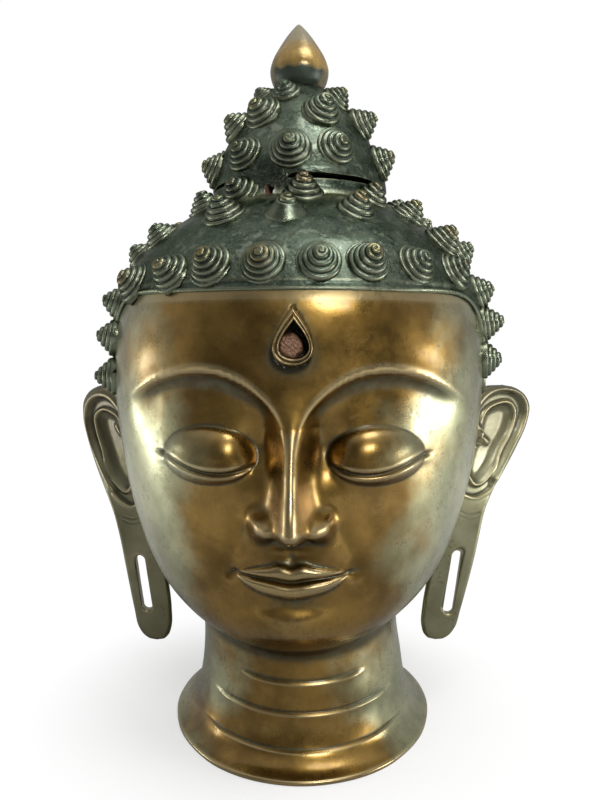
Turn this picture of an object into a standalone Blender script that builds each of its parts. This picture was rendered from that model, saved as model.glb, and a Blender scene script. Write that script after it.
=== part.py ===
"""Buddha's head, cast in copper as two pieces.

The head casting stands on its flared neck and carries the ears, the curls and a
collar on the crown. The top-knot cap, with its own curls and jewel, sits on the
collar. Metres, +Z up. The face looks along -Y. The origin is on the underside, on
the axis of head, collar and cap; the hand-made neck stands a little off it.
"""
import math

import bmesh
import bpy
import numpy as np
from mathutils import Vector

OBJECT_NAME = "copper_buddha_head"

# Foot rim and neck
RIM_WIDTH = 0.158
RIM_DEPTH = 0.190
RIM_THICKNESS = 0.0022
NECK_WIDTH = 0.121
NECK_DEPTH = 0.143
NECK_SHIFT = 0.0020

# Head, stacked from the foot up: chin, face as far as the hairline, crown, collar
CHIN_HEIGHT = 0.075
FACE_HEIGHT = 0.1793
CROWN_HEIGHT = 0.0562
COLLAR_HEIGHT = 0.0087
COLLAR_BEND = 0.0041
HEAD_WIDTH = 0.2196
FRONT_REACH = 0.1138
BACK_REACH = 0.1165
COLLAR_RADIUS = 0.0515

# Raised hair: how far it stands out, how wide its edge is, its end at the collar
HAIR_STEP = 0.0018
HAIR_EDGE = 0.0016
HAIR_END = 0.0040

# Top-knot cap on the collar, and its jewel
SEAT_GAP = 0.0003
CAP_OVERHANG = 0.0010
CAP_HEIGHT = 0.0620
CAP_SIDE_DROP = 0.0050
JEWEL_RADIUS = 0.0172
JEWEL_FOOT_RADIUS = 0.0138
JEWEL_HEIGHT = 0.0420
JEWEL_SUNK = 0.0035

# Open stretch of the seam, front right, and the hole low in the collar, front left
SEAM_OPENING = 0.0017
SEAM_OPENING_DEPTH = 0.024
SEAM_OPENING_TURN = 30.0
SEAM_DISC_RADIUS = 0.035
CHIP_RADIUS = 0.0030
CHIP_TURN = -16.5
CHIP_DROP = 0.0062

# Curls: snail shells with a stepped side
CURL_RADIUS = 0.0100
CURL_HEIGHT = 0.0112
CURL_SUNK = 0.0026
CURL_SIDES = 6
PLAIN_CONE_SIDES = 8

# Ears: places are out from the head's widest point and up from the chin
EAR_THICKNESS = 0.0062
EAR_FLARE = 36.0
EAR_FLARE_START = -0.015
EAR_FLARE_END = 0.095
EAR_ROOT_OUT = -0.0132
EAR_ROOT_Y = -0.002
EAR_PIVOT_OUT = -0.0098
EAR_PIVOT_UP = 0.050
EAR_WAIST_UP = 0.063
EAR_WAIST_REACH = 0.026
BOWL_OUT = 0.0114
BOWL_UP = 0.0875
BOWL_HALF_LENGTH = 0.0410
BOWL_HALF_WIDTH = 0.0200
BOWL_LEAN = 15.5
LOBE_START = 0.053
LOBE_END = 0.067
SLOT_OUT = -0.0108
SLOT_WIDTH = 0.0066
SLOT_LEAN = 8.0

# Urna socket on the forehead
URNA_DROP = 0.0218
URNA_SHIFT = 0.0012
URNA_WIDTH = 0.0208
URNA_LENGTH = 0.0284
URNA_RIM_OUT = 0.0016
URNA_DEPTH = 0.0022
URNA_HOLE = 0.74
URNA_ROUND = 0.08
URNA_POINTS = 18

# How finely the free form is worked before it is thinned out
HEAD_ROWS = 250
HEAD_COLUMNS = 240
HEAD_SHARE = 0.045
HEAD_FINAL_SHARE = 0.563
CAP_FINAL_SHARE = 0.76
EAR_ROWS = 44
EAR_COLUMNS = 20
EAR_SHARE = 0.4
CAP_STEPS = 32
DISC_SIDES = 32
WELD = 0.00001

HAIRLINE_HEIGHT = CHIN_HEIGHT + FACE_HEIGHT
COLLAR_FOOT_HEIGHT = HAIRLINE_HEIGHT + CROWN_HEIGHT
COLLAR_TOP_HEIGHT = COLLAR_FOOT_HEIGHT + COLLAR_HEIGHT
CAP_FOOT = COLLAR_TOP_HEIGHT + SEAT_GAP
CAP_RADIUS = COLLAR_RADIUS + CAP_OVERHANG
# The face is laid out in twelve equal units from chin to hairline
FACE_UNIT = FACE_HEIGHT / 12.0

# Neck: height as a share of the chin's at front, side and back, then the spread
# from the neck's size (0) to the rim's (1)
NECK_SECTIONS = (
    (0.073, 0.073, 0.073, 0.68),
    (0.153, 0.153, 0.153, 0.40),
    (0.293, 0.293, 0.293, 0.21),
    (0.480, 0.507, 0.507, 0.08),
    (0.667, 0.747, 0.800, 0.00),
)

# Head: height above the chin as a share of the face at the front, then how much
# higher at side and back, then shares of head width, front and back reach
HEAD_SECTIONS = (
    (-0.089, 0.061, 0.117, 0.556, 0.626, 0.627),
    (-0.061, 0.078, 0.156, 0.587, 0.668, 0.661),
    (-0.039, 0.089, 0.178, 0.647, 0.747, 0.712),
    (-0.008, 0.092, 0.187, 0.703, 0.830, 0.764),
    (0.045, 0.089, 0.178, 0.765, 0.892, 0.815),
    (0.128, 0.072, 0.145, 0.824, 0.923, 0.867),
    (0.240, 0.050, 0.106, 0.879, 0.938, 0.914),
    (0.390, 0.022, 0.050, 0.936, 0.953, 0.961),
    (0.558, 0.006, 0.017, 0.977, 0.971, 0.991),
    (0.725, 0.000, 0.000, 1.000, 0.993, 1.000),
    (0.864, 0.000, 0.000, 1.000, 1.000, 0.991),
    (0.976, 0.000, 0.000, 0.973, 0.982, 0.961),
)

# Crown: height as a share from hairline to collar, then the spread from the
# collar's radius (0) to the head's size (1)
CROWN_SECTIONS = (
    (0.208, 0.858),
    (0.420, 0.730),
    (0.600, 0.556),
    (0.760, 0.346),
    (0.900, 0.150),
    (1.000, 0.036),
)

# Sections of the face are squarer than an oval; from where to where, up the face,
# this fades into the round crown
SQUARENESS = 0.2
SQUARENESS_FADE = (0.586, 1.032)

# Three folds of the neck: height as a share of the chin's, then half length across
# the front and step as shares of the neck's width
NECK_FOLDS = (
    (0.593, 0.281, 0.0099),
    (0.380, 0.413, 0.0116),
    (0.149, 0.463, 0.0124),
)
FOLD_SAG = 0.028
FOLD_ROLL = 0.107
FOLD_CREASE = 0.047

# Hairline: turn from the front in degrees, and height as on place_on_head
HAIRLINE_CORNER_START = 45.0
HAIRLINE_CORNER_END = 75.0
HAIRLINE_CORNER_POWER = 2.6
HAIRLINE_TEMPLE = 0.725
HAIRLINE_BEHIND = (
    (80, 0.692),
    (88, 0.680),
    (95, 0.641),
    (100, 0.541),
    (104, 0.418),
    (107, 0.318),
    (112, 0.240),
    (120, 0.201),
    (140, 0.178),
    (180, 0.162),
)

# Ear outline, bottom of the lobe to the top: up, outer edge, inner edge
EAR_OUTLINE = (
    (-0.0355, -0.0158, -0.0213),
    (-0.0330, -0.0108, -0.0253),
    (-0.0270, -0.0068, -0.0278),
    (-0.0150, -0.0041, -0.0281),
    (0.0000, -0.0012, -0.0268),
    (0.0150, 0.0018, -0.0248),
    (0.0300, 0.0052, -0.0238),
    (0.0450, 0.0100, -0.0228),
    (0.0600, 0.0177, -0.0208),
    (0.0750, 0.0260, -0.0178),
    (0.0900, 0.0322, -0.0148),
    (0.1050, 0.0362, -0.0118),
    (0.1150, 0.0370, -0.0108),
    (0.1215, 0.0342, -0.0078),
    (0.1255, 0.0277, 0.0002),
    (0.1270, 0.0202, 0.0092),
)
# Carving of the ear as a share of its thickness, from the bowl's middle (0) to the
# helix's outer edge (1)
HELIX_CARVING = (
    (0.00, -0.742),
    (0.30, -0.677),
    (0.45, -0.194),
    (0.53, 0.161),
    (0.60, -0.129),
    (0.68, 0.194),
    (0.80, 0.387),
    (0.92, 0.258),
    (1.00, 0.0),
)
# The same below, where the helix runs out into the lobe
LOBE_CARVING = (
    (0.00, -0.742),
    (0.30, -0.645),
    (0.48, -0.097),
    (0.57, 0.194),
    (0.68, -0.323),
    (0.84, -0.355),
    (0.96, 0.194),
    (1.06, 0.097),
    (1.20, 0.0),
)
# The ears were made by hand and differ: side, outward tilt in degrees, lift, how
# far the outer edge draws in at the waist, and the top and length of the slot
EARS = (
    ("left_ear", -1, 0.0, 0.0, 0.0, 0.0200, 0.0360),
    ("right_ear", 1, 3.6, 0.002, 0.0055, 0.0250, 0.0410),
)

# Rows of curls, the same on both sides: height, first turn in degrees, number, step
SIDE_ROWS_OF_CURLS = (
    (1.244, 7.3, 3, 14.4),
    (1.217, 55.0, 1, 0.0),
    (1.021, 75.5, 1, 0.0),
    (0.903, 78.0, 1, 0.0),
    (0.789, 75.0, 1, 0.0),
    (1.457, 80.0, 5, 22.0),
    (0.965, 102.0, 4, 26.0),
    (0.770, 114.0, 3, 26.0),
    (0.558, 122.0, 3, 22.0),
    (0.335, 128.0, 2, 34.0),
)
# Rings of curls round the crown: height, first turn, number
RINGS_OF_CURLS = (
    (1.751, -33.0, 12),
    (1.947, 4.0, 8),
)
# Rings of curls on the cap: height as a share of the cap's, first turn, number
CAP_RINGS = (
    (0.258, -4.0, 10),
    (0.689, -34.8, 7),
    (0.913, -17.0, 5),
)
# One curl from its foot up: shares of its radius and height
CURL_PROFILE = (
    (0.98, 0.13),
    (0.68, 0.19),
    (0.62, 0.52),
    (0.34, 0.60),
)
# Pointed lotus bud, top to bottom: shares of the jewel's radius and height
JEWEL_PROFILE = (
    (0.00, 1.00),
    (0.26, 0.86),
    (0.64, 0.63),
    (0.92, 0.45),
    (1.00, 0.28),
    (0.93, 0.12),
    (0.80, 0.02),
)

COPPER_COLOR = (0.23, 0.13, 0.06, 1.0)
COPPER_ROUGHNESS = 0.33
DARK_PATINA_COLOR = (0.045, 0.055, 0.045, 1.0)
DARK_PATINA_ROUGHNESS = 0.45
METALLIC = 1.0


def smooth_step(start, end, value):
    """Rise from 0 to 1 between start and end."""
    share = np.clip((value - start) / (end - start), 0.0, 1.0)
    return share * share * (3.0 - 2.0 * share)


def swell(distance, width):
    """Bell curve with height 1 at distance 0."""
    return np.exp(-((distance / width) ** 2))


def place_on_head(share):
    """Height at a share: 0 at the chin, 1 at the hairline, 2 at the collar's foot."""
    return np.interp(share, (0, 1, 2), (CHIN_HEIGHT, HAIRLINE_HEIGHT, COLLAR_FOOT_HEIGHT))


def head_stations():
    """Sections up the head: three heights, half width, front reach, back reach."""
    stations = [(RIM_THICKNESS,) * 3 + (RIM_WIDTH / 2, RIM_DEPTH / 2, RIM_DEPTH / 2)]
    for front, side, back, spread in NECK_SECTIONS:
        half_width = (NECK_WIDTH + spread * (RIM_WIDTH - NECK_WIDTH)) / 2
        half_depth = (NECK_DEPTH + spread * (RIM_DEPTH - NECK_DEPTH)) / 2
        heights = (front * CHIN_HEIGHT, side * CHIN_HEIGHT, back * CHIN_HEIGHT)
        stations.append(heights + (half_width, half_depth, half_depth))
    for front, side_rise, back_rise, width, front_share, back_share in HEAD_SECTIONS:
        low = CHIN_HEIGHT + front * FACE_HEIGHT
        heights = (low, low + side_rise * FACE_HEIGHT, low + back_rise * FACE_HEIGHT)
        reaches = (width * HEAD_WIDTH / 2, front_share * FRONT_REACH, back_share * BACK_REACH)
        stations.append(heights + reaches)
    for share, spread in CROWN_SECTIONS:
        reaches = tuple(
            COLLAR_RADIUS + spread * (full - COLLAR_RADIUS)
            for full in (HEAD_WIDTH / 2, FRONT_REACH, BACK_REACH)
        )
        stations.append((HAIRLINE_HEIGHT + share * CROWN_HEIGHT,) * 3 + reaches)
    for height in (COLLAR_FOOT_HEIGHT + COLLAR_BEND, COLLAR_TOP_HEIGHT):
        stations.append((height,) * 3 + (COLLAR_RADIUS,) * 3)
    return np.array(stations)


def along(stations, share):
    """Smooth curve through the stations, read at shares of its length."""
    steps = np.diff(stations[:, (0, 3, 4)], axis=0)
    lengths = np.sqrt((steps ** 2).sum(axis=1)) ** 0.5
    knots = np.concatenate(([0.0], np.cumsum(lengths)))
    knots /= knots[-1]
    slopes = np.gradient(stations, knots, axis=0)
    index = np.clip(np.searchsorted(knots, share, side="right") - 1, 0, len(knots) - 2)
    span = (knots[index + 1] - knots[index])[:, None]
    t = (share - knots[index])[:, None] / span
    start, end = stations[index], stations[index + 1]
    start_slope, end_slope = slopes[index] * span, slopes[index + 1] * span
    return (
        (2 * t ** 3 - 3 * t ** 2 + 1) * start
        + (t ** 3 - 2 * t ** 2 + t) * start_slope
        + (3 * t ** 2 - 2 * t ** 3) * end
        + (t ** 3 - t ** 2) * end_slope
    )


def plain_head(rows, columns):
    """Grid of points on the uncarved head, from the rim up to the collar."""
    sections = along(head_stations(), np.linspace(0.0, 1.0, rows))
    front_z, side_z, back_z, width, front, back = (sections[:, i][:, None] for i in range(6))
    round_trip = np.linspace(-1.0, 1.0, columns, endpoint=False)
    # More columns stand at the front, where the carving is
    turn = math.pi * (0.55 * round_trip + 0.45 * np.sign(round_trip) * np.abs(round_trip) ** 2.4)
    sine, cosine = np.sin(turn)[None, :], np.cos(turn)[None, :]
    faces_front = cosine > 0
    above_neck = smooth_step(0.6 * CHIN_HEIGHT, 1.6 * CHIN_HEIGHT, front_z)
    up_face = (front_z - CHIN_HEIGHT) / FACE_HEIGHT
    squareness = 2.0 + SQUARENESS * above_neck * (1.0 - smooth_step(*SQUARENESS_FADE, up_face))
    power = np.where(faces_front, 2.0 / squareness, 1.0)
    x = width * np.sign(sine) * np.abs(sine) ** power
    y = -np.where(faces_front, front, back) * np.sign(cosine) * np.abs(cosine) ** power
    end_z = np.where(faces_front, front_z, back_z)
    z = side_z + (end_z - side_z) * cosine ** 2
    x = x + NECK_SHIFT * (1.0 - smooth_step(0.4 * CHIN_HEIGHT, CHIN_HEIGHT, z))
    return x, y, z


def brow_height(across):
    """Height of the brow's edge above the chin."""
    share = np.clip((across - 0.25) / 6.2, 0.0, 1.0)
    return 7.55 + 1.65 * np.sin(math.pi * share ** 0.78) ** 0.9 + 0.55 * share


def eye_relief(across, up):
    """Brow edge, socket, eyeball under its lids, and the lowered lid line."""
    below_brow = brow_height(across) - up
    below = np.maximum(below_brow, 0.0)
    side = smooth_step(0.15, 1.0, across) * (1.0 - smooth_step(4.6, 6.3, across))
    socket = 0.455 * side * (1.0 - np.exp(-below / 0.22)) * swell(below, 1.75)
    brow_ridge = 0.080 * side * swell(below_brow + 0.10, 0.28)
    inner_corner = 0.402 * swell(across - 1.15, 0.62) * swell(up - 6.9, 0.85)
    eye_across, eye_up = 2.78, 6.62
    half_height = np.where(up > eye_up, 1.02, 0.92)
    ball = ((across - eye_across) / 1.66) ** 2 + ((up - eye_up) / half_height) ** 2
    eyeball = 0.589 * np.clip(1.0 - ball, 0.0, 1.0) ** 0.55
    share = np.clip((across - 1.30) / 3.05, 0.0, 1.0)
    lid_line = 6.42 + 0.28 * share - 0.34 * np.sin(math.pi * share ** 0.9)
    lid_length = smooth_step(1.18, 1.42, across) * (1.0 - smooth_step(4.25, 4.6, across))
    above_lid = up - lid_line
    lid = 0.074 * np.where(above_lid > 0, swell(above_lid, 0.22), 0.0)
    lid -= 0.147 * swell(above_lid + 0.08, 0.09)
    lid += 0.040 * swell(above_lid + 0.30, 0.12)
    return brow_ridge - socket - inner_corner + eyeball + lid * lid_length


def nose_relief(across, up):
    """Ridge, tip and wings of the nose, with the hollows under it."""
    ridge_up = (3.55, 3.95, 4.12, 4.45, 4.80, 5.60, 6.60, 7.40, 8.10, 8.90)
    ridge_out = (0.0, 0.234, 0.837, 1.372, 1.392, 1.071, 0.703, 0.415, 0.201, 0.0)
    width_up = (3.9, 4.4, 4.9, 5.8, 6.8, 7.6, 8.6)
    width_half = (0.62, 0.66, 0.60, 0.47, 0.43, 0.55, 1.1)
    half = np.interp(up, width_up, width_half)
    ridge = np.interp(up, ridge_up, ridge_out) * np.exp(-((across / half) ** 2.3))
    spread = np.interp(up, (3.8, 4.6, 6.2, 7.6), (0.0, 0.301, 0.234, 0.0)) * swell(across, 1.15)
    wing_across = (np.abs(across - 0.98) / 0.40) ** 2.6
    wing_up = (np.abs(up - 4.42) / 0.42) ** 2.6
    wings = 0.589 * np.exp(-wing_across - wing_up)
    nostrils = 0.201 * swell(across - 0.50, 0.20) * swell(up - 4.02, 0.14)
    return ridge + spread + wings - nostrils


def mouth_relief(across, up):
    """Lips, their meeting line and corners, and the groove below the nose."""
    half_mouth = 1.92
    share = np.clip(across / half_mouth, 0.0, 1.0)
    meeting = 2.66 - 0.07 * swell(across, 0.42) + 0.16 * share ** 2
    upper = 0.52 * (1.0 - share ** 1.8) + 0.10 * swell(across - 0.36, 0.26) + 0.001
    lower = 0.64 * (1.0 - share ** 2.4) ** 0.8 + 0.001
    in_upper = np.clip((up - meeting) / upper, 0.0, 1.0)
    in_lower = np.clip((meeting - up) / lower, 0.0, 1.0)
    upper_roll = (1.0 - (1.9 * in_upper - 0.9) ** 2) ** 0.7 * (in_upper > 0)
    lower_roll = (1.0 - (2.0 * in_lower - 1.0) ** 2) ** 0.6
    lips = (0.228 * upper_roll + 0.308 * lower_roll) * (1.0 - share ** 3)
    mound = 0.301 * swell(across, 2.1) * swell(up - 2.75, 1.15)
    parting = 0.134 * swell(up - meeting, 0.075) * (1.0 - smooth_step(1.8, 2.15, across))
    corner = 0.147 * swell(across - 2.1, 0.28) * swell(up - 2.84, 0.30)
    groove_length = smooth_step(3.1, 3.4, up) * (1.0 - smooth_step(3.8, 4.0, up))
    groove = 0.060 * swell(across, 0.20) * groove_length
    return mound + lips - parting - corner - groove


def cheek_and_chin_relief(across, up):
    """Full cheeks, the fold beside the nose, and the round chin."""
    cheek = 0.201 * swell(across - 3.5, 2.0) * swell(up - 4.3, 1.9)
    fold_across = 1.55 + 0.42 * np.clip(4.3 - up, 0.0, 1.5)
    fold_length = smooth_step(2.7, 3.5, up) * (1.0 - smooth_step(4.2, 4.7, up))
    fold = 0.080 * swell(across - fold_across, 0.28) * fold_length
    below_lip = 0.174 * swell(across, 1.5) * swell(up - 1.72, 0.34)
    chin = 0.335 * swell(across, 1.35) * swell(up - 0.85, 0.80)
    return cheek - fold - below_lip + chin


def face_relief(x, y, z):
    """How far the face stands out from the plain head, towards the front."""
    across = np.abs(x) / FACE_UNIT
    up = (z - CHIN_HEIGHT) / FACE_UNIT
    face = eye_relief(across, up) + nose_relief(across, up)
    face += mouth_relief(across, up) + cheek_and_chin_relief(across, up)
    face *= smooth_step(0.10, 0.45, -y / np.hypot(x, y))
    face *= smooth_step(-0.9, 0.35, up) * (1.0 - smooth_step(12.4, 13.2, up))
    return face * FACE_UNIT


def fold_relief(x, y, z):
    """Rings of flesh across the front of the neck, each overlapping the next."""
    relief = np.zeros_like(x)
    across = np.abs(x - 2 * NECK_SHIFT) / NECK_WIDTH
    for height, half_length, step in NECK_FOLDS:
        above = z / CHIN_HEIGHT - height - FOLD_SAG * (across / half_length) ** 2
        reach = 1.0 - smooth_step(0.82 * half_length, 1.05 * half_length, across)
        roll = np.exp(np.minimum(above, 0.0) / FOLD_ROLL)
        crease = -0.55 * np.exp(-np.maximum(above, 0.0) / FOLD_CREASE)
        relief += step * NECK_WIDTH * np.where(above < 0, roll, crease) * reach
    return relief * (y < 0) * (z < CHIN_HEIGHT)


def hairline():
    """Turns from the front, in degrees, and the hairline's heights there."""
    quarter = np.linspace(0.0, math.pi / 2, 24)
    power = 2.0 / HAIRLINE_CORNER_POWER
    corner_turn = HAIRLINE_CORNER_END - HAIRLINE_CORNER_START
    turns = HAIRLINE_CORNER_START + corner_turn * np.sin(quarter) ** power
    temple = place_on_head(HAIRLINE_TEMPLE)
    heights = temple + (HAIRLINE_HEIGHT - temple) * np.abs(np.cos(quarter)) ** power
    behind = np.array(HAIRLINE_BEHIND)
    turns = np.concatenate(([0.0], turns, behind[:, 0]))
    heights = np.concatenate(([HAIRLINE_HEIGHT], heights, place_on_head(behind[:, 1])))
    return turns, heights


def into_hair(x, y, z):
    """Distance from the hairline, above zero inside the hair."""
    turns, heights = hairline()
    turn = np.abs(np.arctan2(x, -y))
    radius = HEAD_WIDTH / 2
    edge = np.radians(turns) * radius
    nearest = np.full(x.shape, np.inf)
    for i in range(len(edge) - 1):
        run, rise = edge[i + 1] - edge[i], heights[i + 1] - heights[i]
        from_start = turn * radius - edge[i]
        share = (from_start * run + (z - heights[i]) * rise) / (run ** 2 + rise ** 2 + 1e-12)
        share = np.clip(share, 0.0, 1.0)
        gap = np.hypot(from_start - share * run, z - heights[i] - share * rise)
        nearest = np.minimum(nearest, gap)
    above = z > np.interp(np.degrees(turn), turns, heights)
    return np.where(above, nearest, -nearest)


def carved_head(rows, columns):
    """The plain head with its face, neck folds and raised hair carved in."""
    x, y, z = plain_head(rows, columns)
    face = face_relief(x, y, z)
    hair = HAIR_STEP * smooth_step(-HAIR_EDGE / 8, HAIR_EDGE * 7 / 8, into_hair(x, y, z))
    hair *= 1.0 - smooth_step(COLLAR_FOOT_HEIGHT - HAIR_END, COLLAR_FOOT_HEIGHT, z)
    out = hair + fold_relief(x, y, z)
    radius = np.hypot(x, y)
    # The tip of the nose droops a little as it comes forward
    up = (z - CHIN_HEIGHT) / FACE_UNIT
    droop = 0.22 * np.clip(face - 0.67 * FACE_UNIT, 0.0, None) * smooth_step(5.6, 4.2, up)
    return x + out * x / radius, y + out * y / radius - face, z - droop


def make_mesh_object(name, vertices, faces):
    """Closed mesh object with its faces turned outwards."""
    mesh = bpy.data.meshes.new(name)
    mesh.from_pydata([tuple(v) for v in vertices], [], [tuple(f) for f in faces])
    shape = bmesh.new()
    shape.from_mesh(mesh)
    bmesh.ops.recalc_face_normals(shape, faces=shape.faces)
    if shape.calc_volume(signed=True) < 0:
        bmesh.ops.reverse_faces(shape, faces=shape.faces)
    shape.to_mesh(mesh)
    shape.free()
    return bpy.data.objects.new(name, mesh)


def loft(name, rings):
    """Skin over a stack of closed rings, with a flat face on each end."""
    rows, columns = rings.shape[:2]
    faces = [range(columns), range((rows - 1) * columns, rows * columns)]
    for row in range(rows - 1):
        for column in range(columns):
            after = (column + 1) % columns
            low, high = row * columns, (row + 1) * columns
            faces.append((low + column, low + after, high + after, high + column))
    return make_mesh_object(name, rings.reshape(-1, 3), faces)


def turned(name, profile, steps):
    """Turned solid: a profile of radius and height, top to bottom, screwed round."""
    mesh = bpy.data.meshes.new(name)
    points = [(radius, 0.0, height) for radius, height in profile]
    mesh.from_pydata(points, [(i, i + 1) for i in range(len(points) - 1)], [])
    thing = bpy.data.objects.new(name, mesh)
    screw = thing.modifiers.new("turn", "SCREW")
    screw.steps = steps
    screw.render_steps = steps
    screw.use_merge_vertices = True
    screw.merge_threshold = WELD
    return thing


def finished(thing):
    """The object as a closed mesh, with its modifiers worked in and its seams welded."""
    bpy.context.scene.collection.objects.link(thing)
    graph = bpy.context.evaluated_depsgraph_get()
    mesh = bpy.data.meshes.new_from_object(thing.evaluated_get(graph))
    shape = bmesh.new()
    shape.from_mesh(mesh)
    bmesh.ops.remove_doubles(shape, verts=shape.verts, dist=WELD)
    bmesh.ops.recalc_face_normals(shape, faces=shape.faces)
    shape.to_mesh(mesh)
    shape.free()
    name = thing.name
    matrix = thing.matrix_world.copy()
    bpy.data.objects.remove(thing)
    result = bpy.data.objects.new(name, mesh)
    result.matrix_world = matrix
    return result


def joined(name, things):
    """One object that holds the meshes of several."""
    shape = bmesh.new()
    for thing in things:
        mesh = thing.data
        mesh.transform(thing.matrix_world)
        shape.from_mesh(mesh)
        bpy.data.objects.remove(thing)
    mesh = bpy.data.meshes.new(name)
    shape.to_mesh(mesh)
    shape.free()
    return bpy.data.objects.new(name, mesh)


def combine(target, tool, operation, guides, tool_crosses_itself=False):
    """Boolean of target and tool, which is kept as a hidden guide."""
    guides.objects.link(tool)
    tool.hide_render = True
    tool.display_type = "WIRE"
    boolean = target.modifiers.new(tool.name, "BOOLEAN")
    boolean.operation = operation
    boolean.solver = "EXACT"
    boolean.use_self = tool_crosses_itself
    boolean.object = tool


def thin_out(thing, share):
    """Keep a share of the triangles, fewest where the form is plain."""
    thing.modifiers.new("triangles", "TRIANGULATE")
    thinner = thing.modifiers.new("thin_out", "DECIMATE")
    thinner.ratio = share


def standing(position, outward):
    """Matrix that stands a thing on a surface at position, along outward."""
    matrix = Vector(outward).to_track_quat("Z", "Y").to_matrix().to_4x4()
    matrix.translation = Vector(position)
    return matrix


def curl_shape(name, stepped):
    """One snail-shell curl, or a plain unfinished cone."""
    profile = [(0.0, CURL_HEIGHT)]
    if stepped:
        profile += [(r * CURL_RADIUS, h * CURL_HEIGHT) for r, h in reversed(CURL_PROFILE)]
    else:
        profile += [(0.34 * CURL_RADIUS, 0.62 * CURL_HEIGHT)]
    profile += [(CURL_RADIUS, -CURL_SUNK), (0.0, -CURL_SUNK)]
    sides = CURL_SIDES if stepped else PLAIN_CONE_SIDES
    return finished(turned(name, profile, sides))


class Surface:
    """Grid of points that finds a place and its outward direction on itself."""

    def __init__(self, x, y, z):
        self.points = np.stack([x, y, z], axis=-1)
        self.turn = np.degrees(np.arctan2(x, -y))
        along_row = np.roll(self.points, -1, axis=1) - np.roll(self.points, 1, axis=1)
        up_column = np.gradient(self.points, axis=0)
        normal = np.cross(along_row, up_column)
        normal /= np.linalg.norm(normal, axis=-1, keepdims=True) + 1e-12
        outward = (normal[..., :2] * self.points[..., :2]).sum(axis=-1, keepdims=True)
        self.normal = np.where(outward < 0, -normal, normal)

    def at(self, turn, height):
        """Point and outward direction at a turn from the front and a height."""
        away = np.abs((self.turn - turn + 180.0) % 360.0 - 180.0)
        gap = np.hypot(np.radians(away) * HEAD_WIDTH / 2, self.points[..., 2] - height)
        row, column = np.unravel_index(np.argmin(gap), gap.shape)
        return self.points[row, column], self.normal[row, column]


def place_curls(name, surface, places, plain_turn=None):
    """Curls standing on a surface at turns and heights, as one object."""
    curl = curl_shape("curl", True)
    cone = curl_shape("plain_cone", False)
    things = []
    for turn, height in places:
        shape = cone if plain_turn is not None and turn == plain_turn else curl
        copy = bpy.data.objects.new("curl_copy", shape.data.copy())
        copy.matrix_world = standing(*surface.at(turn, height))
        things.append(copy)
    bpy.data.objects.remove(curl)
    bpy.data.objects.remove(cone)
    return joined(name, things)


def head_curl_places():
    """Turn and height of every curl on the head casting."""
    places = []
    for share, first, count, step in SIDE_ROWS_OF_CURLS:
        for turn in (first + i * step for i in range(count)):
            places += [(side * turn, place_on_head(share)) for side in (-1, 1)]
    for share, first, count in RINGS_OF_CURLS:
        places += [(first + i * 360.0 / count, place_on_head(share)) for i in range(count)]
    return places


def cap_curl_places():
    """Turn and height of every curl on the top-knot cap."""
    places = []
    for share, first, count in CAP_RINGS:
        for turn in (first + i * 360.0 / count for i in range(count)):
            drop = CAP_SIDE_DROP * math.sin(math.radians(turn)) ** 2
            places.append((turn, CAP_FOOT + share * CAP_HEIGHT - drop))
    return places


def bowl_share(out, up):
    """0 at the middle of the ear's bowl, 1 at the outer edge of its helix."""
    lean = math.radians(BOWL_LEAN)
    lengthwise = (out - BOWL_OUT) * math.sin(lean) + (up - BOWL_UP) * math.cos(lean)
    crosswise = (out - BOWL_OUT) * math.cos(lean) - (up - BOWL_UP) * math.sin(lean)
    return np.hypot(lengthwise / BOWL_HALF_LENGTH, crosswise / BOWL_HALF_WIDTH)


def ear_rings(rows, columns, waist):
    """Closed sections up an ear, front face and then back face: out, y, up."""
    outline = np.array(EAR_OUTLINE)
    share = 0.5 - 0.5 * np.cos(np.linspace(0.0, math.pi, rows))
    share = 0.5 * share + 0.5 * np.linspace(0.0, 1.0, rows)
    up = outline[0, 0] + share * (outline[-1, 0] - outline[0, 0])
    outer = np.interp(up, outline[:, 0], outline[:, 1])
    outer = (outer - waist * swell(up - EAR_WAIST_UP, EAR_WAIST_REACH))[:, None]
    inner = np.interp(up, outline[:, 0], outline[:, 2])[:, None]
    up = up[:, None]
    across = -np.cos(np.linspace(0.0, math.pi, columns))[None, :]
    out = (outer + inner) / 2 + across * (outer - inner) / 2
    edge = np.clip(1.0 - np.abs(across) ** 5, 0.0, 1.0) ** 0.5
    share = bowl_share(out, up)
    helix = np.interp(share, *np.array(HELIX_CARVING).T)
    lobe = np.interp(share, *np.array(LOBE_CARVING).T)
    carving = lobe + (helix - lobe) * smooth_step(LOBE_START, LOBE_END, up)
    front = EAR_THICKNESS * edge * (0.5 + carving)
    back = EAR_THICKNESS * edge * (np.minimum(carving, 0.0) - 0.5)
    flare = np.radians(EAR_FLARE) * smooth_step(EAR_FLARE_START, EAR_FLARE_END, up)
    flat_y = EAR_ROOT_Y + (out - EAR_ROOT_OUT) * np.tan(flare)
    rings = []
    for offset, order in ((front, slice(None)), (back, slice(-2, 0, -1))):
        points = (out + offset * np.sin(flare), flat_y - offset * np.cos(flare), up + 0 * out)
        rings.append(np.stack(points, axis=-1)[:, order])
    return np.concatenate(rings, axis=1)


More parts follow.
